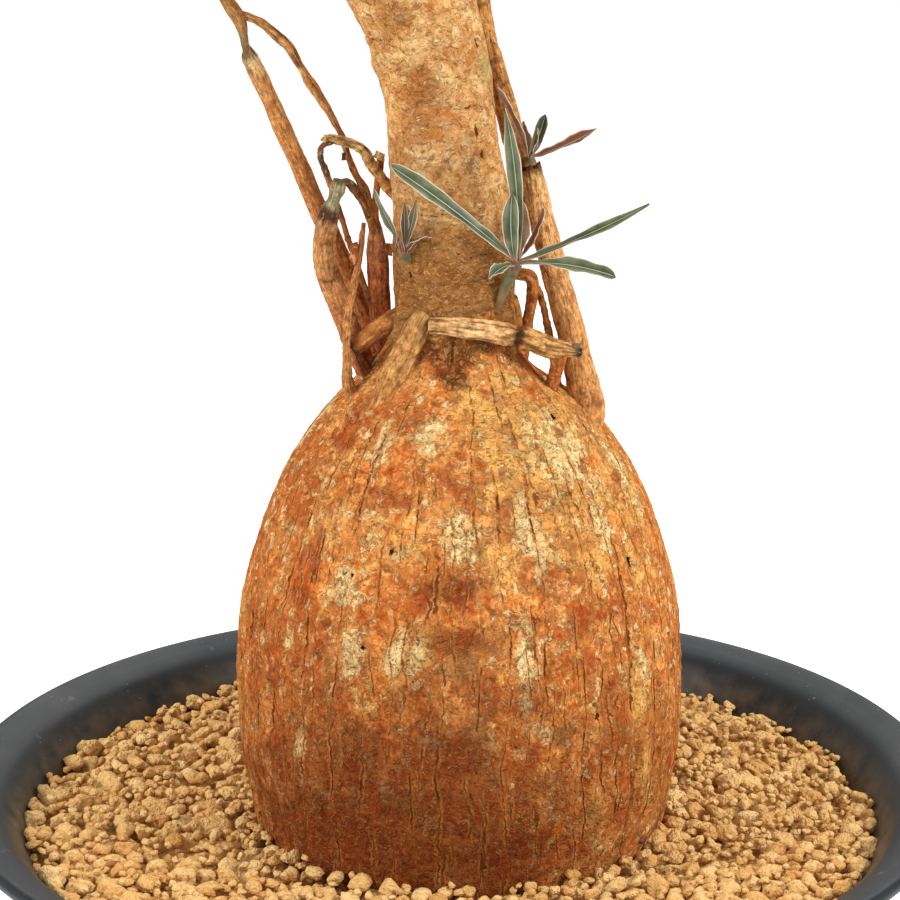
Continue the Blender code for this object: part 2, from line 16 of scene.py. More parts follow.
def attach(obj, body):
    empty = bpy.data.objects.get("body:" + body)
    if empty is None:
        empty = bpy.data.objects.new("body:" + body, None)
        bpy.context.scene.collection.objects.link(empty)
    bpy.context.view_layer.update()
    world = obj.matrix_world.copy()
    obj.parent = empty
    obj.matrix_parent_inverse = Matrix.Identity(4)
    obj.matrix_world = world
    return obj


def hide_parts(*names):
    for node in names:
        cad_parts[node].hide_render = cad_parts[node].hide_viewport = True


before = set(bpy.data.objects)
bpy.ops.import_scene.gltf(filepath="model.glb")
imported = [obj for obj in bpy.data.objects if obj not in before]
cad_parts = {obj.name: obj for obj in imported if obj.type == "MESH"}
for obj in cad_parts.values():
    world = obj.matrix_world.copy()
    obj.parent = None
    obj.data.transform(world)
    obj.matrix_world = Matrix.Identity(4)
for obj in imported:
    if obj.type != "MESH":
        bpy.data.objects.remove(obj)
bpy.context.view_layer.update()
MM = 0.001


# Pot: a wide round bowl, injection moulded in slate-grey polypropylene. Its wall flares into a
# broad rim with a rolled lip, and it stands on a ring foot with six drainage holes inside it.

POT_SIDES = 168
# Steps in mm along the outline: on the walls, and round the lip where it bends most
WALL_STEP, LIP_STEP = 1.8, 0.5
# Outline from the middle of the underside, out over the lip and down to the floor: radius, height
POT_FOOT = [(0.5, 0.15), (20, 0), (34.5, 0), (36, 2), (58.5, 2), (60, 0), (76.4, 0)]
POT_OUTSIDE = [(80.8, 5), (86.3, 22), (91.6, 38), (98, 60.5), (103.8, 80.5), (106.8, 89), (111.6, 93.9)]
POT_LIP = [(117.6, 96.3), (119.5, 96.9), (120, 98.3), (119.2, 99.5), (117.6, 99.6)]
POT_INSIDE = [(113.4, 98.2), (109.6, 96.3), (106.8, 93.2), (104.7, 90), (101.6, 83), (97, 66), (88.5, 38)]
POT_FLOOR = [(76.5, 9), (70, 6), (40, 6), (0.5, 6)]
DRAIN_RADIUS, DRAIN_RING, DRAINS = 5.0, 47.0, 6
# The punch that cuts a drain reaches through the 6 mm floor on both sides
FLOOR_MIDDLE, PUNCH_LENGTH = 3.0, 14.0
# Dust starts this many points of the outline past the lip's crown. Its line on the inner wall is
# full up to one height and has faded out at the other
PAST_CROWN = 6
DUST_ENDS, DUST_FULL = 96.2, 91.5


def linear(code):
    """A colour given as sRGB hex, turned to the linear values that a shader takes."""
    parts = [int(code[i:i + 2], 16) / 255 for i in (0, 2, 4)]
    return (*[c / 12.92 if c <= 0.04045 else ((c + 0.055) / 1.055) ** 2.4 for c in parts], 1.0)


def wire(node, inputs):
    """Give a node's inputs their values, or links from other nodes."""
    for name, value in inputs.items():
        if isinstance(value, bpy.types.NodeSocket):
            node.id_data.links.new(value, node.inputs[name])
        else:
            node.inputs[name].default_value = value


def add(tree, kind, settings=None, inputs=None, ramp=None, out=0):
    """Add a shader node with its settings, its inputs and its ramp of hex colours, and give one output."""
    made = tree.nodes.new("ShaderNode" + kind)
    for name, value in (settings or {}).items():
        setattr(made, name, value)
    wire(made, inputs or {})
    if ramp:
        stops = made.color_ramp.elements
        while len(stops) < len(ramp):
            stops.new(0.5)
        for stop, (at, code) in zip(stops, ramp):
            stop.position = at
            stop.color = linear(code)
    return made.outputs[out]


def finish_named(name):
    """A new material with its node tree and its Principled shader."""
    made = bpy.data.materials.new(name)
    made.use_nodes = True
    return made, made.node_tree, made.node_tree.nodes["Principled BSDF"]


def smooth_line(knots, step):
    """Points on a smooth curve through given knots, a step apart along it."""
    knots = np.array(knots, float)
    ends = np.vstack([2 * knots[0] - knots[1], knots, 2 * knots[-1] - knots[-2]])
    fine = []
    for a, b, c, d in zip(ends, ends[1:], ends[2:], ends[3:]):
        t = np.linspace(0, 1, 24, endpoint=False)[:, None]
        fine.append(0.5 * (2 * b + (c - a) * t + (2 * a - 5 * b + 4 * c - d) * t ** 2
                           + (3 * b - a - 3 * c + d) * t ** 3))
    fine = np.vstack([*fine, knots[-1]])
    along = np.append(0, np.cumsum(np.linalg.norm(np.diff(fine[:, :3], axis=0), axis=1)))
    stations = np.linspace(0, along[-1], max(3, round(along[-1] / step) + 1))
    return np.stack([np.interp(stations, along, column) for column in fine.T], -1)


def turned(radius, height, bearing, middle=0.0):
    """Points on a turned form at each radius, height and bearing round an upright line at x = middle."""
    across = radius * np.cos(bearing) + middle
    return np.stack(np.broadcast_arrays(across, radius * np.sin(bearing), height), -1)


def skin(rings, marks=None):
    """Points, faces and marks of a closed tube through rings of points, with a fan over each end."""
    rows, columns = rings.shape[:2]
    i, j = np.meshgrid(np.arange(rows - 1), np.arange(columns), indexing="ij")
    k = (j + 1) % columns
    low, high = i * columns, (i + 1) * columns
    faces = np.stack([low + j, low + k, high + k, high + j], -1).reshape(-1, 4).tolist()
    foot, top, last = rows * columns, rows * columns + 1, (rows - 1) * columns
    for a in range(columns):
        b = (a + 1) % columns
        faces += [(foot, b, a), (top, last + a, last + b)]
    close = {name: np.vstack([m.reshape(rows * columns, -1), m[0].mean(0), m[-1].mean(0)])
             for name, m in {"at": rings, **(marks or {})}.items()}
    return close.pop("at"), faces, close


def make_piece(name, shells, finish, replaced=()):
    """One shown piece out of closed shells. It rides the only body and stands for CAD nodes."""
    points, faces, marks, start = [], [], {}, 0
    for at, shell_faces, shell_marks in shells:
        points.append(at)
        faces += [[corner + start for corner in face] for face in shell_faces]
        for mark, values in shell_marks.items():
            marks.setdefault(mark, []).append(values)
        start += len(at)
    mesh = bpy.data.meshes.new(name)
    mesh.from_pydata((np.vstack(points) * MM).tolist(), [], faces)
    for mark, values in marks.items():
        values = np.vstack(values)
        kind, field = ("FLOAT_VECTOR", "vector") if values.shape[1] == 3 else ("FLOAT", "value")
        mesh.attributes.new(mark, kind, "POINT").data.foreach_set(field, values.astype(np.float32).ravel())
    mesh.shade_smooth()
    mesh.materials.append(finish)
    made = bpy.data.objects.new(name, mesh)
    bpy.context.scene.collection.objects.link(made)
    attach(made, "root")
    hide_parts(*replaced)
    return made


def moulded_polypropylene():
    """Moulded polypropylene: satin, a soft grain off the steel, watering dust inside and fine rubs."""
    finish, tree, shader = finish_named("moulded polypropylene, dusty")
    place = add(tree, "NewGeometry")
    up = add(tree, "SeparateXYZ", None, {0: place}, out=2)
    inside = add(tree, "Attribute", {"attribute_name": "inside"}, out="Fac")
    # Cloudy tone, smudges, specks and the steel's grain, each with its size in mm and its detail.
    # The grain is drawn coarser than its real tenth of a mm, so that it shows
    cloud, smudge, specks, grain = [
        add(tree, "TexNoise", None, {"Vector": place, "Scale": 1 / (size * MM), "Detail": detail})
        for size, detail in ((22, 6.0), (5.5, 4.0), (1.2, 2.0), (0.7, 3.0))]
    body = add(tree, "ValToRGB", None, {0: cloud}, [(0.3, "0C1013"), (0.7, "15191C")])
    # Watering leaves a brown line of dust on the inner wall, just over the granules
    above = add(tree, "MapRange", None, {0: up, 1: DUST_ENDS * MM, 2: DUST_FULL * MM})
    ragged = add(tree, "Math", {"operation": "MULTIPLY_ADD"}, {0: smudge, 1: 2.4, 2: -0.65})
    reach = add(tree, "Math", {"operation": "MULTIPLY", "use_clamp": True}, {0: above, 1: ragged})
    crust = add(tree, "Math", {"operation": "MULTIPLY"}, {0: reach, 1: inside})
    colour = add(tree, "Mix", {"data_type": "RGBA"}, {0: crust, 6: body, 7: linear("594B37")}, out=2)
    for pattern, low, high, code in ((smudge, 0.68, 0.76, "5C5C59"), (specks, 0.735, 0.76, "86847C")):
        shown = add(tree, "MapRange", None, {0: pattern, 1: low, 2: high, 3: 0.0, 4: 0.7})
        colour = add(tree, "Mix", {"data_type": "RGBA"}, {0: shown, 6: colour, 7: linear(code)}, out=2)
    rubbed = add(tree, "MapRange", None, {0: cloud, 1: 0.3, 2: 0.7, 3: 0.38, 4: 0.52})
    relief = add(tree, "Bump", None, {"Strength": 0.35, "Distance": 0.08 * MM, "Height": grain})
    wire(shader, {"Base Color": colour, "Roughness": rubbed, "IOR": 1.49, "Specular IOR Level": 0.34,
                  "Normal": relief})
    return finish


def make_pot():
    outline = smooth_line(POT_FOOT + POT_OUTSIDE, WALL_STEP).tolist()
    outline += smooth_line([outline[-1], *POT_LIP, POT_INSIDE[0]], LIP_STEP).tolist()[1:]
    outline += smooth_line([outline[-1], *POT_INSIDE[1:], *POT_FLOOR], WALL_STEP).tolist()[1:]
    outline = np.array(outline)
    radius, height = outline[:, :1], outline[:, 1:].clip(0, None)
    rings = turned(radius, height, np.linspace(0, math.tau, POT_SIDES, endpoint=False))
    past_lip = np.arange(len(outline)) > np.argmax(height) + PAST_CROWN
    inside = np.tile(past_lip[:, None, None].astype(float), (1, POT_SIDES, 1))
    pot = make_piece("pot_bowl", [skin(rings, {"inside": inside})], moulded_polypropylene(),
                     ["pot"])
    for i in range(DRAINS):
        angle = math.tau * (i + 0.5) / DRAINS
        place = Vector((DRAIN_RING * math.cos(angle), DRAIN_RING * math.sin(angle), FLOOR_MIDDLE)) * MM
        bpy.ops.mesh.primitive_cylinder_add(vertices=40, radius=DRAIN_RADIUS * MM, depth=PUNCH_LENGTH * MM,
                                            location=place)
        punch = bpy.context.object
        hole = pot.modifiers.new("Drain", "BOOLEAN")
        hole.operation, hole.solver, hole.object = "DIFFERENCE", "EXACT", punch
        bpy.context.view_layer.objects.active = pot
        bpy.ops.object.modifier_apply(modifier=hole.name)
        bpy.data.objects.remove(punch)


make_pot()


# Granules: tan clay, baked and sieved to about 2 to 8 mm, poured loose round the plant. They lie
# on each other as they fell; below the top two layers one plain body of packed clay fills the bowl.

SOIL_LEVEL = 90.0
BED_LEVEL = 86.2
# The plant stands a little to the right of the pot's middle
PLANT_X = 2.0
BOWL_AT_SOIL = 104.4
# How many granules are dropped, and their radii as least, greatest and likeliest: chunks go first,
# crumbs last. From FINE_GRAIN up a granule has the finer mesh
GRAIN_SIZES = [(260, (2.8, 4.1, 3.2)), (7000, (1.2, 3.9, 2.5)), (5200, (0.7, 1.5, 1.0))]
FINE_GRAIN = 2.45
LUMP_KINDS = 16
# Rough sides nest, so two granules lie a little closer than their radii say
NESTING = 0.93
# Granules are looked up in square cells, wider than any two that touch
CELL = 8
# Outline of the packed clay: under side, the bowl's wall, flat top, hollow round the taproot
PACKED_CLAY = [
    (60.0, 6.4), (70.0, 6.5), (76.0, 9.4), (88.1, 38.0), (96.6, 66.0), (101.2, 83.0), (102.0, BED_LEVEL),
    (80.0, BED_LEVEL), (54.0, BED_LEVEL), (49.9, BED_LEVEL), (47.3, 72), (41.8, 60), (30.8, 48), (17.8, 40)]
# Closer in than this the outline is centred on the plant, not on the pot
HOLLOW_REACH = 55
CLAY_SIDES = 96

# Height and radius of the caudex, which the granules lie against
CAUDEX_RADII = [
    (36, 6), (40, 17), (48, 30), (60, 41), (72, 46.5), (85, 49.4), (97, 51.4), (110, 53.4), (123, 54.0),
    (136, 53.2), (149, 51.2), (160, 48.2), (169, 44.9), (177, 40.9), (185, 35.7), (193, 29.3),
    (201, 21.2), (209, 16.0), (217, 13.6)]


def caudex_radius(height):
    """Radius of the caudex at each height: a smooth curve through its knots without overshoot."""
    z, r = np.array(CAUDEX_RADII, float).T
    slope = np.diff(r) / np.diff(z)
    before, after = slope[:-1], slope[1:]
    same = before * after > 0
    inner = np.where(same, 2 * before * after / np.where(same, before + after, 1), 0)
    tangent = np.concatenate([slope[:1], inner, slope[-1:]])
    at = np.clip(np.asarray(height, float), z[0], z[-1])
    i = np.clip(np.searchsorted(z, at) - 1, 0, len(z) - 2)
    width = z[i + 1] - z[i]
    t = (at - z[i]) / width
    return ((2 * t ** 3 - 3 * t ** 2 + 1) * r[i] + (t ** 3 - 2 * t ** 2 + t) * width * tangent[i]
            + (-2 * t ** 3 + 3 * t ** 2) * r[i + 1] + (t ** 3 - t ** 2) * width * tangent[i + 1])


def rough(points, size, seed=0.0):
    """Soft noise from -1 to 1 at each point, with lumps of about that size."""
    spots = (points / size + seed).reshape(-1, 3).tolist()
    return np.reshape([noise.noise(spot) for spot in spots], points.shape[:-1])


def baked_clay():
    """Baked clay: dull and porous, each grain a little lighter or browner, with gritty broken faces."""
    finish, tree, shader = finish_named("baked clay granules")
    place = add(tree, "NewGeometry")
    tone = add(tree, "Attribute", {"attribute_name": "tone"}, out="Fac")
    # Blotches 2 mm wide and grit of 1.2 mm, coarser than the real grit so that it shows
    blotch, grit = [add(tree, "TexNoise", None, {"Vector": place, "Scale": 1 / (size * MM), "Detail": detail,
                                                 "Roughness": roughness})
                    for size, detail, roughness in ((2.0, 3.0, 0.7), (1.2, 2.2, 0.65))]
    mixed = add(tree, "Math", {"operation": "MULTIPLY_ADD"}, {0: blotch, 1: 0.6, 2: tone})
    colour = add(tree, "ValToRGB", None, {0: mixed}, [
        (0.20, "AE763A"), (0.42, "D29C58"), (0.62, "E0B16E"), (0.85, "EAC282"), (1.0, "F0D098")])
    pits = add(tree, "MapRange", None, {0: grit, 1: 0.32, 2: 0.44, 3: 0.62, 4: 1.0})
    pitted = add(tree, "Mix", {"data_type": "RGBA"}, {0: pits, 6: linear("8A6236"), 7: colour}, out=2)
    relief = add(tree, "Bump", None, {"Strength": 1.0, "Distance": 1.6 * MM, "Height": grit})
    wire(shader, {"Base Color": pitted, "Roughness": 0.95, "Specular IOR Level": 0.25, "Normal": relief})
    return finish


def broken_lumps(divisions, count, draw):
    """Shapes of granules of radius 1: round lumps, knocked flat on some sides and knobbly."""
    lumps = []
    for _ in range(count):
        ball = bmesh.new()
        bmesh.ops.create_icosphere(ball, subdivisions=divisions, radius=1)
        at = np.array([v.co for v in ball.verts])
        faces = [[v.index for v in face.verts] for face in ball.faces]
        ball.free()
        seed = draw.uniform(0, 90)
        at = at * (1.0 + 0.66 * rough(at, 1.3, seed))[:, None]
        for _ in range(7):
            flat = np.array(Vector([draw.gauss(0, 1) for _ in range(3)]).normalized())
            over = (at @ flat - draw.uniform(0.55, 0.85)).clip(0, None)
            at = at - 0.9 * over[:, None] * flat
        knobs = 0.24 * rough(at, 0.6, seed) + 0.18 * rough(at, 0.3, seed) + 0.10 * rough(at, 0.16, seed)
        lumps.append((at * (1.12 + knobs)[:, None], faces))
    return lumps


def settled_grains(draw):
    """Middles and radii of the granules: each drops straight down till it touches the bed or others."""
    near, grains = {}, []
    beside_plant = float(caudex_radius(SOIL_LEVEL))
    for radius in [draw.triangular(*sizes) for count, sizes in GRAIN_SIZES for _ in range(count)]:
        bearing, out = draw.uniform(0, math.tau), BOWL_AT_SOIL * math.sqrt(draw.uniform(0.2, 1))
        x, y = out * math.cos(bearing), out * math.sin(bearing)
        from_plant = math.hypot(x - PLANT_X, y)
        if out > BOWL_AT_SOIL - 0.75 * radius or from_plant < beside_plant + 0.22 * radius:
            continue
        column, row = int(x // CELL), int(y // CELL)
        z = BED_LEVEL + 0.2 * radius
        for cell in [(column + i, row + j) for i in (-1, 0, 1) for j in (-1, 0, 1)]:
            for ox, oy, oz, other in near.get(cell, ()):
                touch = (NESTING * (radius + other)) ** 2 - (x - ox) ** 2 - (y - oy) ** 2
                if touch > 0:
                    z = max(z, oz + math.sqrt(touch))
        # The surface is a little uneven, and piled up against the caudex
        level = SOIL_LEVEL + 1.0 + 0.9 * noise.noise(Vector((x / 22, y / 22, 3)))
        level += 1.6 * math.exp((50 - from_plant) / 6)
        if z + 0.75 * radius < level:
            near.setdefault((column, row), []).append((x, y, z, radius))
            grains.append((x, y, z, radius))
    return grains


def make_granules():
    draw = random.Random(41)
    finish = baked_clay()
    grains = settled_grains(draw)
    wall_radii, wall_heights = np.array(POT_INSIDE[5:0:-1]).T
    for name, divisions, chosen in (("granules_coarse", 3, [g for g in grains if g[3] >= FINE_GRAIN]),
                                    ("granules_fine", 2, [g for g in grains if g[3] < FINE_GRAIN])):
        lumps = broken_lumps(divisions, LUMP_KINDS, draw)
        shells = []
        for x, y, z, radius in chosen:
            at, faces = draw.choice(lumps)
            # Flattish chunks lie on their broad side
            spin = np.array(Matrix.Rotation(draw.uniform(0, math.tau), 3, "Z")
                            @ Matrix.Rotation(draw.gauss(0, 0.4), 3, "X"))
            stretch = np.array([draw.uniform(0.88, 1.35), draw.uniform(0.8, 1.15), draw.uniform(0.65, 0.95)])
            at = (at * stretch) @ spin.T * radius + (x, y, z)
            # None reaches into the pot's wall
            wall = np.interp(at[:, 2], wall_heights, wall_radii) - 0.2
            at[:, :2] *= np.minimum(1, wall / np.hypot(at[:, 0], at[:, 1]))[:, None]
            tone = np.full((len(at), 1), draw.triangular(0.06, 0.60, 0.34))
            shells.append((at, faces, {"tone": tone}))
        make_piece(name, shells, finish, ["soil"])

    radius, height = np.array(PACKED_CLAY).T[..., None]
    middle = np.where(radius < HOLLOW_REACH, PLANT_X, 0.0)
    rings = turned(radius, height, np.linspace(0, math.tau, CLAY_SIDES, endpoint=False), middle)
    tone = np.zeros((*rings.shape[:2], 1))
    make_piece("packed_clay", [skin(rings, {"tone": tone})], finish, ["soil"])


make_granules()


# Caudex: the plant's swollen base, living wood under thin flaky bark that splits into upright
# cracks as it swells. Pale young cork shows where flakes have come off, and the foot is darkest.

CAUDEX_COLUMNS = 456
CAUDEX_STEP = 0.74
# Heights of the mesh's rows on the buried taproot, and from where they follow in even steps
TAPROOT_ROWS = [36, 37, 40, 44, 50, 58, 66, 75]
EVEN_FROM = 84
# Widest radius, round which the bark's patterns are wrapped
CAUDEX_WIDEST = 54.0
# How deep the neck's right flank is drawn in, under the broken twig
NECK_HOLLOW = 4.6
# Upright cracks all round, and the fine ones between them
CRACKS = 45
FINE_CRACKS = 91
# The finest lump in mm that the camera resolves: finer ones are left out of the bark's noise
FINEST = 0.25

# Spots on the bark: bearing in degrees (-90 faces the viewer), height, half width, half height
PALE_CORK = [
    (-122, 160, 2.4, 6.0), (-122, 188, 2.2, 3.0), (-106, 146, 2.1, 4.6), (-90, 171, 3.9, 5.4),
    (-69, 172, 5.4, 7.5), (-74, 145, 2.8, 7.5), (-46, 187, 6.5, 7.5), (-43, 172, 2.6, 8.6),
    (-118, 145, 2.6, 5.4), (-117, 157, 1.6, 1.6), (-101, 145, 1.8, 6.0), (-38, 139, 2.1, 4.3),
    (-133, 122, 1.7, 3.2), (-97, 127, 4.3, 1.7), (-103, 191, 3.0, 3.4), (-20, 179, 2.6, 8.6)]
RUST = [
    (-88, 181, 4.7, 6.5), (-95, 159, 9.7, 3.9), (-113, 178, 3.9, 2.8), (-143, 190, 3.2, 8.6),
    (-77, 177, 3.0, 3.4), (-43, 191, 1.9, 1.9), (-43, 154, 3.2, 4.3), (-58, 152, 5.4, 3.9),
    (-138, 158, 3.9, 12.9), (-143, 129, 2.6, 12.9)]
DUSTY = [
    (-115, 126, 4.3, 2.6), (-86, 128, 4.3, 3.2), (-65, 126, 3.2, 4.3), (-105, 112, 4.3, 2.6),
    (-116, 111, 2.6, 4.3), (-45, 134, 1.7, 3.0), (-84, 170, 1.7, 4.3), (-91, 143, 8, 4)]
# Lighter spots low on the right: painted light
PAINTED_LIGHT_SPOTS = [(-55, 107, 6, 9), (-36, 112, 5, 10)]
DARK_FOOT = [(-98, 98, 26, 14), (-78, 92, 12, 7), (-132, 94, 9, 8), (-94, 124, 16, 8), (-92, 161, 6.5, 2.8),
             (-89, 150, 8, 3.2)]
COLLAR_CRUST = [(-100, 207, 7.5, 4.5), (-78, 209, 5, 2.5), (-92, 202, 3.5, 2)]
PITS = [
    (-54, 129, 0.9, 1.2), (-41, 193, 0.9, 0.9), (-110, 168, 0.9, 0.7), (-121, 162, 0.7, 0.7),
    (-115, 147, 0.9, 0.7), (-35, 161, 0.8, 2.2)]


def behind(draw, spots):
    """The same kinds of spots again round the far side, at places drawn by chance."""
    return spots + [(draw.uniform(12, 186), height + draw.uniform(-9, 9), wide, tall)
                    for _, height, wide, tall in spots * 2 if height < 200]


def hump(off, reach):
    """A soft hump: 1 where off is 0, and hardly anything beyond twice its reach."""
    return np.exp(-(off / reach) ** 2)


def fade(value, none, full):
    """From 0 where the value is none to 1 where it is full, in a straight line."""
    return ((value - none) / (full - none)).clip(0, 1)


def patches(spots, bearing, height):
    """Strength, 0 to 1, of a set of soft-edged spots at each place on the caudex."""
    made = np.zeros(np.broadcast(bearing, height).shape)
    radius = caudex_radius(height)
    for degrees, middle, wide, tall in spots:
        turn = (bearing - math.radians(degrees) + math.pi) % math.tau - math.pi
        made = np.maximum(made, hump(turn * radius, wide) * hump(height - middle, tall))
    return made


def split_lines(count, seed, bearing, height, at):
    """Upright cracks, as three numbers for each place.

    They are how far across from the nearest line it lies, a number above 0 near that line and below
    0 midway between two, and how strong the line is there.
    """
    draw = random.Random(seed)
    lines = np.cumsum([draw.uniform(0.55, 1.6) for _ in range(count)])
    lines *= math.tau / lines[-1]
    drift = (2.2 * rough(at, 17, seed) + 0.8 * rough(at, 6, seed + 9)) / CAUDEX_WIDEST
    place = (bearing + drift) % math.tau
    phase = np.interp(place, np.append(0, lines), np.arange(count + 1))
    nearest = np.round(phase).astype(int) % count
    gap = np.diff(np.append(0, lines))[nearest - 1]
    table = [[noise.noise(Vector((k * 7.31, h / 17, seed))) for k in range(count)] for h in height[:, 0]]
    strength = np.take_along_axis(np.array(table), nearest, 1)
    # Only every third crack climbs to the neck, where the lines draw together
    climbs = np.where(nearest % 3 == 0, 1.0, fade(height, 196, 180))
    strength = fade(strength, -0.07, 0.15) * climbs
    turn = math.tau * (phase - np.round(phase))
    across = np.sin(turn) / math.tau * gap * caudex_radius(height)
    return np.stack([across, np.cos(turn), strength], -1)


def bark(name, ground, layers, crack_colour, crumbs):
    """Flaky bark: a grainy ground, layers of flakes and blots, loose crumbs, and split lines.

    Each layer is its size in mm, how much longer than wide, the mark that calls it up, how far that
    mark reaches, its low and high thresholds, its colour, its strength and how high it stands in mm.
    crumbs is how much lighter or darker the crumbs are than the bark round them.
    """
    finish, tree, shader = finish_named(name)
    place = add(tree, "Attribute", {"attribute_name": "bark_place"}, out="Vector")
    # Patterns are shifted by up to 1.5 mm to and fro, so that the edges of flakes wander
    wander = add(tree, "TexNoise", None, {"Vector": place, "Scale": 0.45, "Detail": 2.0}, out="Color")
    shifted = add(tree, "VectorMath", {"operation": "MULTIPLY_ADD"},
                  {0: wander, 1: (3.0, 3.0, 3.0), 2: place})
    # The ground, the jogs and the breaks of the split lines, then one for each layer
    clouds = []
    for source, size, longer, roughness in [(shifted, 2.2, 1.3, 0.7), (place, 2.4, 1.0, 0.62),
                                            (place, 1.6, 2.5, 0.62),
                                            *[(shifted, *layer[:2], 0.62) for layer in layers]]:
        drawn_out = add(tree, "VectorMath", {"operation": "MULTIPLY"}, {0: source, 1: (1.0, 1.0, 1 / longer)})
        detail = max(0.0, math.log2(size / FINEST))
        clouds.append(add(tree, "TexNoise", None, {"Vector": drawn_out, "Scale": 1 / size, "Detail": detail,
                                                   "Roughness": roughness}))
    grainy, jog, broken, *flakes = clouds
    colour = add(tree, "ValToRGB", None, {0: grainy}, ground)
    height, shade = grainy, 1.0
    for fac, (_, _, mark, reach, low, high, code, strength, rise) in zip(flakes, layers):
        if mark:
            called = add(tree, "Attribute", {"attribute_name": mark}, out="Fac")
            fac = add(tree, "Math", {"operation": "MULTIPLY_ADD"}, {0: called, 1: reach, 2: fac})
        shown = add(tree, "MapRange", {"interpolation_type": "SMOOTHSTEP"}, {0: fac, 1: low, 2: high})
        painted = add(tree, "Math", {"operation": "MULTIPLY"}, {0: shown, 1: strength})
        colour = add(tree, "Mix", {"data_type": "RGBA"}, {0: painted, 6: colour, 7: linear(code)}, out=2)
        if rise:
            height = add(tree, "Math", {"operation": "MULTIPLY_ADD"}, {0: shown, 1: rise, 2: height})
            # The step at a flake's edge gets a dark line of painted shadow
            rest = add(tree, "Math", {"operation": "SUBTRACT"}, {0: 1.0, 1: shown})
            rim = add(tree, "Math", {"operation": "MULTIPLY"}, {0: shown, 1: rest})
            step_shadow = -1.6 * abs(rise) - 0.35
            shade = add(tree, "Math", {"operation": "MULTIPLY_ADD"}, {0: rim, 1: step_shadow, 2: shade})
    # Crumbs about 1 mm across, each a little lighter or darker and higher or lower than the next
    crumb = add(tree, "TexVoronoi", {"feature": "F1"}, {"Vector": shifted, "Scale": 1.0}, out="Color")
    level = add(tree, "SeparateXYZ", None, {0: crumb})
    lit = add(tree, "MapRange", None, {0: level, 1: 0.0, 2: 1.0, 3: -crumbs, 4: crumbs})
    shade = add(tree, "Math", {"operation": "ADD"}, {0: shade, 1: lit})
    colour = add(tree, "VectorMath", {"operation": "SCALE"}, {0: colour, "Scale": shade})
    height = add(tree, "Math", {"operation": "MULTIPLY_ADD"}, {0: level, 1: 0.6 * crumbs, 2: height})
    # Split lines jog to and fro by up to 0.9 mm, and are faint in places
    ragged = add(tree, "Math", {"operation": "MULTIPLY_ADD"}, {0: jog, 1: 1.8, 2: -0.9})
    thin = add(tree, "MapRange", None, {0: broken, 1: 0.42, 2: 0.55, 3: 0.12, 4: 1.0})
    for mark, width, depth, dark in (("crack", 0.30, 0.7, 0.85), ("fine_crack", 0.22, 0.35, 0.75)):
        lines = add(tree, "Attribute", {"attribute_name": mark}, out="Vector")
        across, ahead, strong = add(tree, "SeparateXYZ", None, {0: lines}).node.outputs
        frayed = add(tree, "Math", {"operation": "ADD"}, {0: across, 1: ragged})
        off = add(tree, "Math", {"operation": "ABSOLUTE"}, {0: frayed})
        facing = add(tree, "Math", {"operation": "GREATER_THAN"}, {0: ahead, 1: 0.0})
        for part in (facing, thin):
            strong = add(tree, "Math", {"operation": "MULTIPLY"}, {0: strong, 1: part})
        # A raised lip of lighter bark on both sides of the split
        lip = add(tree, "MapRange", None, {0: off, 1: width * 3.0, 2: width * 1.6, 3: 0.0, 4: 0.4})
        raised = add(tree, "Math", {"operation": "MULTIPLY"}, {0: lip, 1: strong})
        split = add(tree, "MapRange", {"interpolation_type": "SMOOTHSTEP"},
                    {0: off, 1: width, 2: width * 0.4, 3: 0.0, 4: 1.0})
        line = add(tree, "Math", {"operation": "MULTIPLY"}, {0: split, 1: strong})
        drawn = add(tree, "Math", {"operation": "MULTIPLY"}, {0: line, 1: dark})
        for mask, code in ((raised, "D48A48"), (drawn, crack_colour)):
            colour = add(tree, "Mix", {"data_type": "RGBA"}, {0: mask, 6: colour, 7: linear(code)}, out=2)
        for part, rise in ((raised, 0.5), (line, -depth)):
            height = add(tree, "Math", {"operation": "MULTIPLY_ADD"}, {0: part, 1: rise, 2: height})
    relief = add(tree, "Bump", None, {"Strength": 1.0, "Distance": MM, "Height": height})
    wire(shader, {"Base Color": colour, "Roughness": 0.92, "Specular IOR Level": 0.0, "Normal": relief})
    return finish


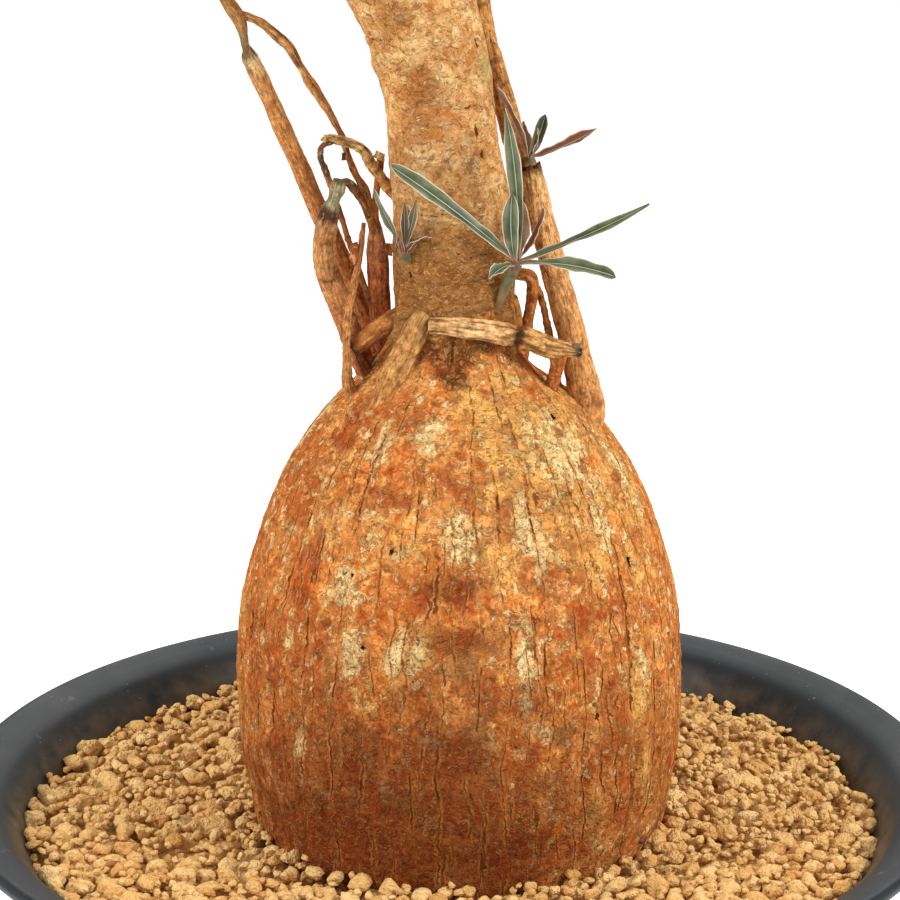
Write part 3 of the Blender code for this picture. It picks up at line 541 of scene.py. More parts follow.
def caudex_bark():
    """Flaky caudex bark: matt orange brown, rusty where it is old, creamy where young cork shows."""
    ground = [(0.32, "863E16"), (0.44, "B45E26"), (0.54, "CC7838"), (0.68, "E2A058")]
    return bark("flaky caudex bark", ground, [
        (24.0, 1.0, None, 0.0, 0.44, 0.64, "9A441E", 0.65, 0.0),
        (16.0, 1.6, None, 0.0, 0.50, 0.70, "E0A85E", 0.5, 0.0),
        # Lighter yellow on the right where light falls: painted light
        (12.0, 1.5, "painted_light", 0.22, 0.52, 0.74, "DEAA5A", 0.75, 0.0),
        (7.0, 1.4, None, 0.0, 0.50, 0.68, "DC9E5A", 0.5, 0.0),
        (4.0, 1.4, None, 0.0, 0.56, 0.64, "923E18", 0.5, 0.14),
        (3.0, 1.5, None, 0.0, 0.57, 0.62, "E0A662", 0.5, -0.14),
        (5.0, 1.4, "pale", 0.30, 0.57, 0.68, "DCBE80", 0.7, -0.20),
        (2.4, 1.2, "pale", 0.14, 0.58, 0.64, "EAD69C", 0.55, -0.10),
        (6.0, 1.1, "rust", 0.24, 0.54, 0.76, "983814", 0.8, 0.0),
        # Darker at the foot: partly dark bark, partly painted shade
        (10.0, 1.0, "foot", 0.45, 0.48, 0.84, "723218", 0.7, 0.0),
        (6.0, 1.0, "dusty", 0.30, 0.58, 0.84, "7E5C34", 0.65, 0.0),
        (1.5, 1.2, "foot", -0.09, 0.59, 0.64, "F0BC72", 0.5, 0.16),
        (1.5, 1.2, "foot", -0.03, 0.59, 0.64, "7C3212", 0.6, -0.16),
        (2.6, 0.18, "foot", 0.08, 0.61, 0.67, "D08848", 0.45, 0.12),
        (0.7, 1.2, "foot", -0.09, 0.61, 0.67, "F4C480", 0.65, 0.08),
        (0.7, 1.2, None, 0.0, 0.61, 0.67, "622C12", 0.75, -0.08),
        # A second darker glaze at the foot, partly painted shade
        (9.0, 1.0, "foot", 0.45, 0.56, 0.96, "78341A", 0.6, 0.0),
        (1.6, 0.4, "foot", 0.10, 0.65, 0.72, "B87238", 0.4, 0.10),
        (4.0, 1.0, "neck", 0.5, 0.62, 0.92, "B0743A", 0.8, 0.0),
        (2.4, 1.0, "crust", 0.42, 0.56, 0.84, "4E2812", 0.85, 0.1),
        (1.2, 1.0, "crust", 0.10, 0.58, 0.66, "B47E4A", 0.55, 0.14),
        (0.8, 1.0, "pit", 0.9, 0.95, 1.1, "2E1710", 1.0, -0.4),
    ], "4E220F", 0.14)


def make_caudex():
    draw = random.Random(5)
    levels = np.arange(EVEN_FROM, 217.1, 0.5)
    along = np.append(0, np.cumsum(np.hypot(np.diff(levels), np.diff(caudex_radius(levels)))))
    stations = np.linspace(0, along[-1], round(along[-1] / CAUDEX_STEP))
    height = np.append(TAPROOT_ROWS, np.interp(stations, along, levels))[:, None]
    # How far up along the skin each row lies, which the bark's patterns follow
    travel = np.append(np.linspace(-60, -6, len(TAPROOT_ROWS)), stations)[:, None]
    bearing = np.linspace(-math.pi, math.pi, CAUDEX_COLUMNS, endpoint=False)[None, :] + 0 * height
    place = turned(CAUDEX_WIDEST, travel, bearing)
    crack = split_lines(CRACKS, 3, bearing, height, place * (1, 1, 0.7))
    fine_crack = split_lines(FINE_CRACKS, 8, bearing, height, place * (1, 1, 0.8))

    marks = {name: patches(behind(draw, spots), bearing, height) for name, spots in (
        ("pale", PALE_CORK), ("rust", RUST), ("dusty", DUSTY), ("pit", PITS))}
    # The foot is darker, most of all in front, a little to the left: partly dark bark, partly painted shade
    in_front = np.cos(bearing + math.radians(110)).clip(0, 1) ** 3
    dark_foot_and_shade = fade(height, 154, 98) * (0.14 + 0.86 * in_front)
    marks["foot"] = np.maximum(patches(DARK_FOOT, bearing, height), dark_foot_and_shade)
    marks["crust"] = patches(COLLAR_CRUST, bearing, height)
    marks["neck"] = fade(height, 207, 213) + 0 * bearing
    # Painted light: the right shoulder is lighter and yellower where the light falls on it
    painted_light_shoulder = hump(bearing + math.radians(52), 0.75) * fade(height, 150, 180) * fade(height, 206, 192)
    marks["painted_light"] = np.maximum(painted_light_shoulder, patches(PAINTED_LIGHT_SPOTS, bearing, height))

    # Relief in mm: bulges, ripples, the grooves of the cracks, pits, and the hollow of the neck
    bulk = 0.55 * rough(place, 24)
    ripple = 0.30 * rough(place * (1, 1, 0.6), 5) + 0.20 * rough(place, 1.9)
    across, ahead, strength = np.moveaxis(crack, -1, 0)
    groove = strength * (ahead > 0) * (0.34 * hump(across, 0.6) + 0.50 * hump(across, 1.8))
    across, ahead, strength = np.moveaxis(fine_crack, -1, 0)
    fine_groove = 0.22 * strength * (ahead > 0) * hump(across, 0.6)
    hollow = NECK_HOLLOW * hump(bearing - math.radians(12), 0.75) * hump(height - 202, 9)
    relief = bulk + ripple - groove - fine_groove - 0.9 * marks["pit"] - hollow
    # It fades out under the soil and into the trunk
    open_air = fade(height, SOIL_LEVEL - 1, SOIL_LEVEL + 4) * fade(height, 214, 206)
    smooth_radius = caudex_radius(height)
    rings = turned(smooth_radius + relief * open_air, height, bearing, PLANT_X)
    marks = {name: mark[..., None] for name, mark in marks.items()}
    marks.update(bark_place=turned(smooth_radius, travel, bearing), crack=crack, fine_crack=fine_crack)
    make_piece("caudex", [skin(rings, marks)], caudex_bark(), ["adenium"])


make_caudex()


# Trunk and crown: one stem of wood from the neck of the caudex, leaning to the left and dividing
# into three short branches. Its thin bark is wrinkled crosswise, with scars where old leaves sat.

# Middle line and radius of the trunk and of each branch, as (x, y, z, radius)
TRUNK_ROUTE = [
    (1.6, 0, 198, 13.0), (1.4, 0, 207, 14.6), (0.8, 0, 218, 14.2), (0.7, 0, 234, 14.1),
    (-1.5, 0, 250, 12.9), (-3.0, 0, 265, 12.6), (-6.0, 0, 279, 13.1), (-11.0, 0, 293, 14.9),
    (-16.0, 0.5, 303, 15.4), (-18.5, 1.0, 310, 11.0)]
CROWN_ROUTES = [
    [(-11, 0, 289, 12.6), (-18, -1, 301, 12.4), (-27, -2, 315, 10.6), (-38, -4, 333, 9.3),
     (-48, -4, 352, 8.2), (-54, -3, 368, 6.4)],
    [(-11, -1, 289, 11.6), (-8, -6, 303, 11.0), (-1.5, -12.5, 320, 9.2), (5, -18, 338, 7.9),
     (9, -23, 356, 5.8)],
    [(-12, 1, 289, 11.6), (-14.5, 8, 303, 10.8), (-16.4, 17, 320, 8.8), (-17, 27, 338, 7.2),
     (-15, 34, 352, 5.4)]]
# Ridges that run from the trunk's foot out over the caudex
FOOT_ROUTES = [
    [(-8.4, -7.6, 228, 2.0), (-9.0, -8.0, 221, 2.8), (-9.8, -8.4, 214, 3.0), (-11.4, -8.8, 208, 2.4)],
    [(9.4, -7.0, 224, 1.8), (10.8, -8.2, 217, 2.8), (12.2, -8.6, 210, 3.0), (13.8, -8.4, 204, 2.2)]]
TUBE_SIDES = 64
TRUNK_VOXEL = 0.55
# Scars of shed leaves wind round each branch, five turns to thirteen scars
LEAF_SCAR_STEP = 3.4
SCARS_ROUND, SCAR_TURNS = 13, 5

# Slits and scars: where, half width, half height, slant across, depth. Then knobs: where, reach,
# height. Then dull clouds: where, reach
TRUNK_SCARS = [
    ((5.9, -9.8, 256.9), 0.5, 2.8, -0.22, 0.7), ((6.8, -9.4, 251.8), 0.8, 1.2, 0.2, 0.6),
    ((5.8, -6.8, 276.8), 0.5, 1.6, -0.2, 0.7), ((11.2, -10.4, 215.0), 0.6, 3.4, 0.1, 0.7),
    ((9.4, -11.6, 224.2), 0.5, 1.8, -0.2, 0.5), ((-9.4, -10.0, 224.4), 0.6, 1.7, -0.3, 0.5)]
TRUNK_KNOBS = [((9.6, -6.6, 273.0), (2.6, 3.4, 4.6), 1.2), ((-11.8, -5.5, 229), (2.4, 2.4, 2.9), 0.7),
               ((-16.6, -1.8, 271.5), (2.6, 2.6, 3.1), 0.8), ((7.6, -10.4, 250.6), (2.0, 2.0, 2.4), 0.7)]
TRUNK_CLOUDS = [((-7.6, -12.0, 267.0), (8, 8, 8)), ((-12.0, -13.0, 284.0), (7, 8, 5)),
                ((1.0, -14.0, 249.0), (7, 6, 4))]
# Rings where a season's growth began: height, bearing of the middle and reach round, in degrees
TRUNK_RINGS = [(277.6, -150, 70), (239.2, -105, 45), (262.5, -60, 40), (298.0, -100, 80), (229.5, -70, 30)]


def rings_round(line, sides):
    """Rings of points round a line of (x, y, z, radius), carried along it without twist."""
    at, radius = line[:, :3], line[:, 3]
    heading = np.gradient(at, axis=0)
    heading /= np.linalg.norm(heading, axis=1)[:, None]
    # Any direction that no stem starts along
    side = np.cross(heading[0], (0.2, 1.0, 0.1))
    turn = np.linspace(0, math.tau, sides, endpoint=False)
    rings = []
    for here, ahead, r in zip(at, heading, radius):
        side = side - ahead * (side @ ahead)
        side /= np.linalg.norm(side)
        spokes = np.cos(turn)[:, None] * side + np.sin(turn)[:, None] * np.cross(ahead, side)
        rings.append(here + r * spokes)
    return np.array(rings), turn


def trunk_bark():
    """Young trunk bark: thin, tan to ochre, matt, softly clouded and finely wrinkled across."""
    ground = [(0.32, "A46C36"), (0.44, "BC864C"), (0.54, "CA965C"), (0.68, "DAB07A")]
    return bark("wrinkled trunk bark", ground, [
        (16.0, 1.0, None, 0.0, 0.42, 0.64, "94643A", 0.7, 0.0),
        (8.0, 0.9, None, 0.0, 0.50, 0.66, "E2C288", 0.6, 0.0),
        (7.0, 1.0, "rust", 0.2, 0.52, 0.72, "A85C2A", 0.5, 0.0),
        (8.0, 0.8, "shaded", 0.5, 0.58, 0.90, "7C4A20", 0.75, 0.0),
        (5.0, 0.6, "shaded", 0.04, 0.54, 0.68, "A06C38", 0.5, 0.0),
        (4.0, 0.8, "shaded", -0.10, 0.53, 0.62, "E0C08C", 0.4, -0.08),
        (3.2, 0.12, "shaded", 0.05, 0.58, 0.66, "804C20", 0.4, -0.06),
        (3.6, 0.12, "shaded", 0.06, 0.60, 0.70, "CC9A60", 0.35, 0.05),
        (2.0, 0.6, None, 0.0, 0.60, 0.67, "9A5826", 0.45, 0.08),
        (1.2, 0.5, "shaded", -0.08, 0.61, 0.67, "F0D4A0", 0.5, 0.10),
        (1.2, 0.6, None, 0.0, 0.61, 0.67, "74401A", 0.5, -0.10),
        (2.2, 0.5, "shaded", 0.09, 0.60, 0.67, "6C3818", 0.5, -0.10),
        (1.3, 0.35, "shaded", 0.07, 0.61, 0.67, "CC965C", 0.5, 0.10),
        (6.0, 1.0, "green", 0.7, 0.55, 1.05, "9C9258", 0.85, 0.0),
        (0.8, 1.0, "pit", 0.8, 0.90, 1.10, "42290F", 0.9, -0.2),
    ], "5A3216", 0.07)


def spot(at, middle, reach):
    """Strength, 0 to 1, of one soft-edged spot at each point."""
    return np.exp(-np.sum(((at - middle) / reach) ** 2, 1))


def make_trunk():
    finish = trunk_bark()
    # A guide of plain tubes, fused and softened to one skin, and then taken away
    tubes = [skin(rings_round(smooth_line(route, 1.0), TUBE_SIDES)[0])
             for route in [TRUNK_ROUTE, *CROWN_ROUTES, *FOOT_ROUTES]]
    guide = make_piece("trunk_guide", tubes, finish)
    fuse = guide.modifiers.new("Fuse", "REMESH")
    fuse.mode, fuse.voxel_size = "VOXEL", TRUNK_VOXEL * MM
    soften = guide.modifiers.new("Soften", "SMOOTH")
    soften.factor, soften.iterations = 0.5, 12
    bpy.context.view_layer.update()
    fused = bpy.data.meshes.new_from_object(guide.evaluated_get(bpy.context.evaluated_depsgraph_get()))
    bpy.data.objects.remove(guide)
    at, normal = np.zeros((2, len(fused.vertices) * 3))
    fused.vertices.foreach_get("co", at)
    fused.vertices.foreach_get("normal", normal)
    at, normal = at.reshape(-1, 3) / MM, normal.reshape(-1, 3)
    faces = [list(face.vertices) for face in fused.polygons]

    # Soft bulges, then wrinkles that run crosswise, coarse and fine
    height = 0.5 * rough(at * (1, 1, 0.7), 11) + 0.18 * rough(at * (0.5, 0.5, 1.6), 3.2)
    height += 0.08 * rough(at * (0.4, 0.4, 1.6), 1.3)
    pit = np.zeros(len(at))
    for middle, wide, tall, slant, depth in TRUNK_SCARS:
        across = at[:, :2] - np.array(middle[:2])
        up = at[:, 2] - middle[2]
        near = hump(np.hypot(across[:, 0] - slant * up, across[:, 1]), wide) * hump(up, tall)
        height -= depth * near
        pit = np.maximum(pit, near)
    for middle, reach, stand in TRUNK_KNOBS:
        height += stand * spot(at, middle, reach)
    trunk_x = np.interp(at[:, 2], [218, 250, 293], [1, -1.5, -11])
    bearing_there = np.degrees(np.arctan2(at[:, 1], at[:, 0] - trunk_x))
    wavy = at[:, 2] + 1.3 * rough(at, 9) + 0.5 * rough(at, 3)
    for level, bearing, reach in TRUNK_RINGS:
        turn = (bearing_there - bearing + 180) % 360 - 180
        reached = np.exp(-(turn / reach) ** 4)
        near = hump(wavy - level, 0.45) * reached
        height += 0.35 * hump(wavy - level + 1.2, 1.0) * reached - 0.45 * near
        pit = np.maximum(pit, 0.66 * near)
    for route in CROWN_ROUTES:
        rings, _ = rings_round(smooth_line(route, LEAF_SCAR_STEP), SCARS_ROUND)
        for i, ring in enumerate(rings[3:-1]):
            off = np.linalg.norm(at - ring[SCAR_TURNS * i % SCARS_ROUND], axis=1)
            height += 0.35 * hump(off, 2.0) - 0.6 * hump(off, 1.0)
            pit = np.maximum(pit, 0.85 * hump(off, 1.0))
    rust = 0.5 * hump(at[:, 2] - 262, 16) + fade(at[:, 2], 300, 360).clip(0, 0.7)
    # The lowest part is dull and dark, most of all in front
    shaded = fade(wavy, 241, 227) * (0.45 + 0.55 * fade(at[:, 1], 4, -6))
    for middle, reach in TRUNK_CLOUDS:
        shaded = np.maximum(shaded, 0.5 * spot(at, middle, reach))
    green = spot(at, TRUNK_KNOBS[0][0], (3.4, 3.4, 5))
    # No upright crack anywhere near
    empty = np.tile((5.0, -1.0, 0.0), (len(at), 1))
    marks = {name: mark[:, None] for name, mark in (
        ("pit", pit), ("rust", rust), ("shaded", shaded), ("green", green))}
    marks.update(bark_place=at, crack=empty, fine_crack=empty)
    shells = [(at + normal * height[:, None], faces, marks)]
    make_piece("trunk_and_crown", shells, finish, ["adenium"])


make_trunk()


# Woody stems: thin shoots and old broken stubs round the collar, grown from the same wood. Some are
# fresh and orange, some peeled red or weathered grey, ringed or wrinkled as each one dried, and
# scraps of their thin bark curl off here and there.

# Each stem: cross-wrinkle depth, lengthwise wrinkle depth, torn end, bark colours along it as
# (share of its length, colour), route (x, y, z, r)
WOODY_STEMS = {
    "front root": (0.03, 0.12, False, [(0, "BC8A50"), (0.5, "BE8A4C"), (0.75, "B4763A"), (1, "A65E28")], [
        (-5.4, -9.0, 216.0, 1.8), (-7.6, -12.2, 212.8, 2.8), (-9.8, -13.6, 208.0, 3.1),
        (-12.4, -14.8, 203.0, 3.1), (-15.2, -16.2, 197.6, 2.9), (-17.8, -17.2, 192.6, 2.3),
        (-19.6, -17.4, 188.0, 1.0)]),
    "long left stem": (0.05, 0.06, False, [
        (0, "B4683A"), (0.3, "C07840"), (0.5, "C88648"), (0.63, "C88C50"), (0.665, "DDBB84"),
        (0.675, "6F6244"), (0.70, "85724C"), (0.73, "B27E48"), (1, "A97A46")], [
        (-14.5, 6.5, 194, 3.6), (-18.3, 7, 202.3, 3.0), (-21.5, 6.5, 213.8, 2.6), (-31.1, 5, 237.4, 2.3),
        (-40.6, 3, 260.4, 2.1), (-45.6, 2, 271.6, 1.95), (-46.5, 2, 274.2, 1.2), (-47.0, 2, 275.4, 0.9),
        (-47.4, 2, 277.6, 1.1), (-48.4, 2, 281.5, 1.6), (-52.1, 2, 287.4, 1.4), (-57.5, 2.5, 300, 1.2),
        (-60.3, 4, 311, 1.0)]),
    "thin stem from its fork": (0.04, 0.16, False, [
        (0, "B9824A"), (0.3, "C58C50"), (0.6, "B8763C"), (1, "AC6A34")], [
        (-49.2, 2, 282.2, 0.9), (-45.4, 2, 281.5, 1.0), (-38.3, 1, 276.2, 1.1), (-31.8, 0, 266.7, 1.0),
        (-26.2, 0.5, 257.2, 0.8), (-23.1, 2, 248.2, 0.9), (-19.1, 2.5, 238.8, 1.2), (-17.4, 3, 231.5, 1.5)]),
    "upright left stub": (0.04, 0.12, True, [
        (0, "E48C58"), (0.35, "DC7C48"), (0.7, "D27644"), (1, "E09C68")], [
        (-12.5, 2.5, 199, 2.8), (-16, 3, 206.6, 2.3), (-16.9, 3, 217.4, 2.5), (-17.3, 3, 227, 2.4),
        (-17.7, 3, 233.2, 1.4)]),
    "cut twig on the stub": (0.03, 0.05, True, [(0, "B26034"), (1, "BC7040")], [
        (-17.6, 3, 230.5, 1.1), (-17.7, 2.5, 236.7, 0.9), (-16.9, 1.7, 244.5, 0.8), (-16.2, 1, 250.3, 0.8)]),
    "arch from the trunk": (0.10, 0.14, True, [
        (0, "C07F42"), (0.4, "C98D4C"), (0.7, "D8A868"), (1, "C2965C")], [
        (-9.5, 0, 237.5, 1.6), (-13.9, -1, 242.5, 1.3), (-17.7, -2, 247.7, 1.4), (-20.6, -2.6, 252.2, 1.2),
        (-25.9, -3, 254.4, 1.0), (-29.0, -3, 255.0, 0.6)]),
    "twig hanging off the arch": (0.10, 0.06, False, [
        (0, "5A4630"), (0.22, "57412C"), (0.3, "C27E46"), (0.6, "B4703A"), (1, "A86632")], [
        (-26.4, -3, 254.2, 0.7), (-29.5, -2.6, 252.8, 0.6), (-29.9, -2, 249.8, 0.8), (-28.4, 0, 245.3, 0.7),
        (-25.8, 1.5, 236.4, 0.7), (-22.2, 1.5, 225.1, 0.7), (-18.2, 2.8, 213.2, 0.8)]),
    "horn": (0.07, 0.03, False, [
        (0, "AC5C2C"), (0.2, "B87040"), (0.45, "BE7E48"), (0.7, "C48A54"), (0.80, "BA8252"),
        (0.825, "4A3226"), (0.86, "55392A"), (0.88, "8F8766"), (0.97, "97906C"), (1, "5A5240")], [
        (-16.5, -1, 194.5, 3.4), (-21.0, -1, 202.3, 2.8), (-24.6, -2.5, 212.3, 2.7),
        (-28.3, -3.5, 223.0, 2.9), (-29.3, -4, 230.5, 2.7), (-28.0, -3.7, 237.6, 2.3),
        (-27.0, -3.5, 240.6, 1.45), (-26.2, -3.5, 243.0, 1.9), (-25.6, -3.5, 245.3, 1.3)]),
    "twig off the horn": (0.06, 0.12, False, [
        (0, "5A4A34"), (0.3, "7A5836"), (0.6, "A06A3C"), (1, "A86638")], [
        (-26.2, -3.2, 243.8, 0.9), (-23.9, -2, 244.5, 0.9), (-20.9, 1.0, 240, 0.9),
        (-18.2, 2.7, 234.0, 1.0)]),
    "front left twig": (0.08, 0.06, False, [
        (0, "B87440"), (0.3, "CC9052"), (0.7, "C28046"), (1, "AE6636")], [
        (-20.0, -6.5, 190.5, 2.4), (-23.7, -8, 197.2, 1.6), (-24.2, -9, 203.5, 1.0),
        (-23.8, -10.2, 214.8, 0.9), (-21.4, -10, 226.2, 0.8), (-19.9, -8.6, 236.2, 0.5)]),
    "cross stub": (0.05, 0.16, True, [
        (0, "C08A4E"), (0.5, "B8783C"), (0.9, "A8672F"), (1, "4A2A18")], [
        (-8.5, -4, 214.6, 2.2), (-13.2, -7, 213.4, 2.2), (-18.1, -8, 210.3, 2.3), (-22.6, -8, 206.7, 2.0)]),
    "stub under it": (0.05, 0.12, False, [(0, "6A3A1E"), (1, "8A4C26")], [
        (-21.9, -7.2, 206.4, 1.2), (-20.6, -5.5, 202.5, 1.3), (-17.6, -3.5, 197.0, 1.9)]),
    "broken twig across the collar": (0.06, 0.24, True, [
        (0, "E0AA6C"), (0.3, "ECBC80"), (0.52, "DCA464"), (0.545, "46301F"), (0.575, "46301F"),
        (0.6, "D8A05C"), (0.93, "D09858"), (0.96, "6A5A48"), (1, "2E2622")], [
        (-4.9, -14.5, 213.6, 1.7), (-0.7, -15.4, 213.5, 2.0), (5.5, -15.6, 212.8, 2.3),
        (12.6, -14.8, 211.5, 2.6), (14.6, -14.5, 211.1, 1.8), (16.4, -14.1, 210.5, 2.5),
        (22.8, -12.2, 207.8, 2.3), (26.3, -11.2, 207.1, 1.8), (30.0, -10.2, 206.2, 0.8)]),
    "leg under the broken twig": (0.05, 0.10, False, [(0, "C07030"), (1, "B4622B")], [
        (25.0, -11.4, 206.6, 2.0), (24.4, -9.4, 202.0, 1.6), (22.6, -6.6, 194.0, 1.8)]),
    "right stem": (0.05, 0.10, True, [
        (0, "CC8448"), (0.2, "DC9A58"), (0.5, "DE9E5E"), (0.8, "E6AA6A"), (0.96, "EAB674"), (1, "7A4E2C")], [
        (28.0, -2, 180, 5.2), (32.0, -2, 189.9, 4.3), (30.9, -0.8, 196.5, 3.8), (27.9, 0.5, 209.7, 3.3),
        (22.9, 3, 227.9, 3.0), (20.2, 4.5, 239.0, 2.8), (18.6, 5.5, 246.6, 2.4)]),
    "upper right stem": (0.06, 0.14, False, [(0, "BC7E42"), (0.5, "C08848"), (1, "C28C4E")], [
        (20.4, 5.2, 234.0, 1.8), (16.8, 8.4, 244.2, 2.1), (14.3, 9.0, 254.0, 2.6), (11.1, 10.0, 266.1, 2.4),
        (8.1, 11.5, 276.5, 2.2), (6.9, 14.0, 287, 2.1), (7.4, 16.0, 300, 1.9), (9.6, 17.0, 314, 1.6),
        (13.0, 17.5, 327, 1.4)]),
    "hook": (0.06, 0.08, False, [(0, "C27C3E"), (0.4, "B56A30"), (1, "AA6028")], [
        (11.5, -1, 221.5, 1.3), (15.6, -1.4, 222.8, 1.4), (18.8, -2, 221.3, 1.5), (18.2, -0.5, 213.5, 1.3),
        (16.6, 0, 199.5, 1.4)]),
    "twig off the hook": (0.10, 0.05, False, [(0, "B06A30"), (1, "A45C28")], [
        (18.6, -1.4, 220.8, 0.9), (20.9, 0, 217.3, 0.8), (24.2, 1, 202.0, 0.9), (25.2, 1, 194.0, 1.0)]),
}
STEM_STEP = 0.4
# Twigs thinner than this radius are lumpier for their size
THIN_TWIG = 1.7


def stem_bark():
    """Twig bark: dull, from tan to red and grey, streaked along the grain, with painted shade in its folds.
    """
    finish, tree, shader = finish_named("dry twig bark")
    place, tint = [add(tree, "Attribute", {"attribute_name": mark}, out="Vector")
                   for mark in ("bark_place", "tint")]
    fold = add(tree, "Attribute", {"attribute_name": "fold"}, out="Fac")
    # Grain, fibres, blots, and light and dark flecks: size in mm, how long, detail and roughness
    grainy, fibre, blot, light, dark = [
        add(tree, "TexNoise", None, {
            "Vector": add(tree, "VectorMath", {"operation": "MULTIPLY"}, {0: place, 1: (1, 1, 1 / longer)}),
            "Scale": 1 / size, "Detail": detail, "Roughness": roughness})
        for size, longer, detail, roughness in (
            (1.5, 1.0, 8.0, 0.76), (0.5, 5.0, 4.0, 0.6), (3.4, 1.0, 7.0, 0.7),
            (1.3, 1.6, math.log2(1.3 / FINEST), 0.62), (1.1, 1.6, math.log2(1.1 / FINEST), 0.62))]
    shade = add(tree, "MapRange", None, {0: grainy, 1: 0.34, 2: 0.66, 3: 0.48, 4: 1.46})
    streak = add(tree, "MapRange", None, {0: fibre, 1: 0.38, 2: 0.62, 3: 0.76, 4: 1.24})
    shade = add(tree, "Math", {"operation": "MULTIPLY"}, {0: shade, 1: streak})
    colour = add(tree, "VectorMath", {"operation": "SCALE"}, {0: tint, "Scale": shade})
    # Rusty blots, the flecks, then painted shade in the folds: pattern, low and high, strength, colour
    for pattern, low, high, strength, code in (
            (blot, 0.52, 0.62, 0.62, "8C4216"), (light, 0.60, 0.66, 0.5, "E6B67C"),
            (dark, 0.60, 0.66, 0.6, "5C2C12"), (fold, 0.1, 1.0, 0.85, "45230F")):
        shown = add(tree, "MapRange", None, {0: pattern, 1: low, 2: high, 3: 0.0, 4: strength})
        colour = add(tree, "Mix", {"data_type": "RGBA"}, {0: shown, 6: colour, 7: linear(code)}, out=2)
    height = add(tree, "Math", {"operation": "MULTIPLY_ADD"}, {0: fibre, 1: 0.6, 2: grainy})
    relief = add(tree, "Bump", None, {"Strength": 1.0, "Distance": 0.8 * MM, "Height": height})
    wire(shader, {"Base Color": colour, "Roughness": 0.78, "IOR": 1.45, "Specular IOR Level": 0.15,
                  "Normal": relief})
    return finish


def woody_stem(crosswise, lengthwise, torn, colours, route, seed):
    """Skin of one stem: its route with wrinkles, a few lumps, and a torn or a rounded end."""
    line = smooth_line(route, STEM_STEP)
    thick = line[:, 3].max()
    # Sides as wide as the steps are long, but from 20 to 56 of them
    rings, turn = rings_round(line, int(min(56, max(20, thick * 16))))
    along = np.append(0, np.cumsum(np.linalg.norm(np.diff(line[:, :3], axis=0), axis=1)))
    place = turned(thick, along[:, None], turn) + seed * 31.0
    cross = rough(place * (0.22, 0.22, 1.0), 0.95, seed)
    lengthy = rough(place * (1.0, 1.0, 0.16), 0.85, seed)
    lump_size, lumpy = (2.6, 0.32) if thick < THIN_TWIG else (3.6, 0.07)
    lump = rough(place * 0.6, lump_size, seed)
    height = 2.2 * crosswise * cross + 2.4 * lengthwise * lengthy + lumpy * thick * lump
    # No wrinkle is deeper than four tenths of the radius
    middle, radius = line[:, None, :3], line[:, 3:]
    limit = 0.4 * radius
    rings = middle + (rings - middle) * (1 + np.clip(height, -limit, limit) / radius)[..., None]
    # Painted shade darkens where a wrinkle dips, and on a torn end
    fold = np.clip(-cross - 0.08, 0, 1) * crosswise * 16 + np.clip(-lengthy - 0.05, 0, 1) * lengthwise * 10
    fold = fold.clip(0, 0.85)
    if torn:
        ahead = (line[-1, :3] - line[-3, :3]) / np.linalg.norm(line[-1, :3] - line[-3, :3])
        jag = rough(place[-1], 0.5, seed) * 0.9 * line[-1, 3]
        rings[-1] += jag[:, None] * ahead
        fold[-3:] = np.maximum(fold[-3:], [[0.3], [0.6], [0.9]])
    # Each band of colour ends in a ragged line
    share = (along[:, None] + 0.9 * rough(place, 0.9, seed)) / along[-1]
    ramp = np.array([linear(code)[:3] for _, code in colours])
    tint = np.stack([np.interp(share, [at for at, _ in colours], column) for column in ramp.T], -1)
    return skin(rings, {"bark_place": place, "tint": tint, "fold": fold[..., None]})


# Thin scraps of bark that curl off the stems, and one that fell on the granules: corner, first edge,
# second edge, thickness, colour
SCRAPS = [
    ((-13.9, 1.5, 226.6), (-1.9, -0.6, 0.3), (0.4, 0.2, 2.8), 0.4, "C07A48"),
    ((-14.2, 0.8, 209.5), (-1.4, 0.5, -0.2), (0.2, 0.4, 2.0), 0.4, "B4703C"),
    ((-23.1, -10.6, 226.6), (2.0, 0.3, 0.2), (0.1, -0.2, 5.2), 0.8, "9A532B"),
    ((-29.8, -3.4, 255.2), (3.4, -0.3, 0.9), (0.4, 0.6, -1.0), 0.5, "E0B070"),
    ((-17.9, -2.6, 250.4), (2.2, -0.3, -1.0), (0.5, 0.4, 1.6), 0.5, "D8A25E"),
    ((-24.9, -3.2, 251.4), (0.8, -0.2, 0.1), (0.0, 0.2, -1.7), 0.5, "4A3A2A"),
    ((27.4, -12.4, 207.6), (2.8, 1.0, -0.2), (0.3, 0.5, 1.1), 0.4, "6E6458"),
    ((15.6, 3.4, 240.8), (-1.2, -1.0, 0.6), (0.9, -0.7, -2.2), 0.4, "5A4A38"),
    ((43.4, -28.4, 91.6), (3.2, 1.6, 0.4), (-0.5, 0.9, 0.9), 0.4, "7A5A38"),
]


def curled_scrap(corner, edge, other, thickness, code, seed):
    """One scrap of bark: a small ragged plate bowed across its middle."""
    corner, edge, other = np.array(corner), np.array(edge), np.array(other)
    out = np.cross(edge, other)
    out /= np.linalg.norm(out)
    u, v = np.meshgrid(np.linspace(0, 1, 9), np.linspace(0, 1, 9))
    flat = corner + u[..., None] * edge + v[..., None] * other
    flat = flat + 0.315 * rough(flat, 1.1, seed)[..., None] * edge
    bow = (u - 0.5) ** 2 * np.linalg.norm(edge) * 1.3
    top = flat + out * (thickness / 2 - bow)[..., None]
    low = flat + out * (-thickness / 2 - bow)[..., None]
    rings = np.concatenate([top, low[:, ::-1]], 1)[::-1]
    tint = np.tile(linear(code)[:3], (*rings.shape[:2], 1))
    # A little painted shade all over the scrap
    fold = np.full((*rings.shape[:2], 1), 0.1)
    return skin(rings, {"bark_place": rings + 70.0, "tint": tint, "fold": fold})


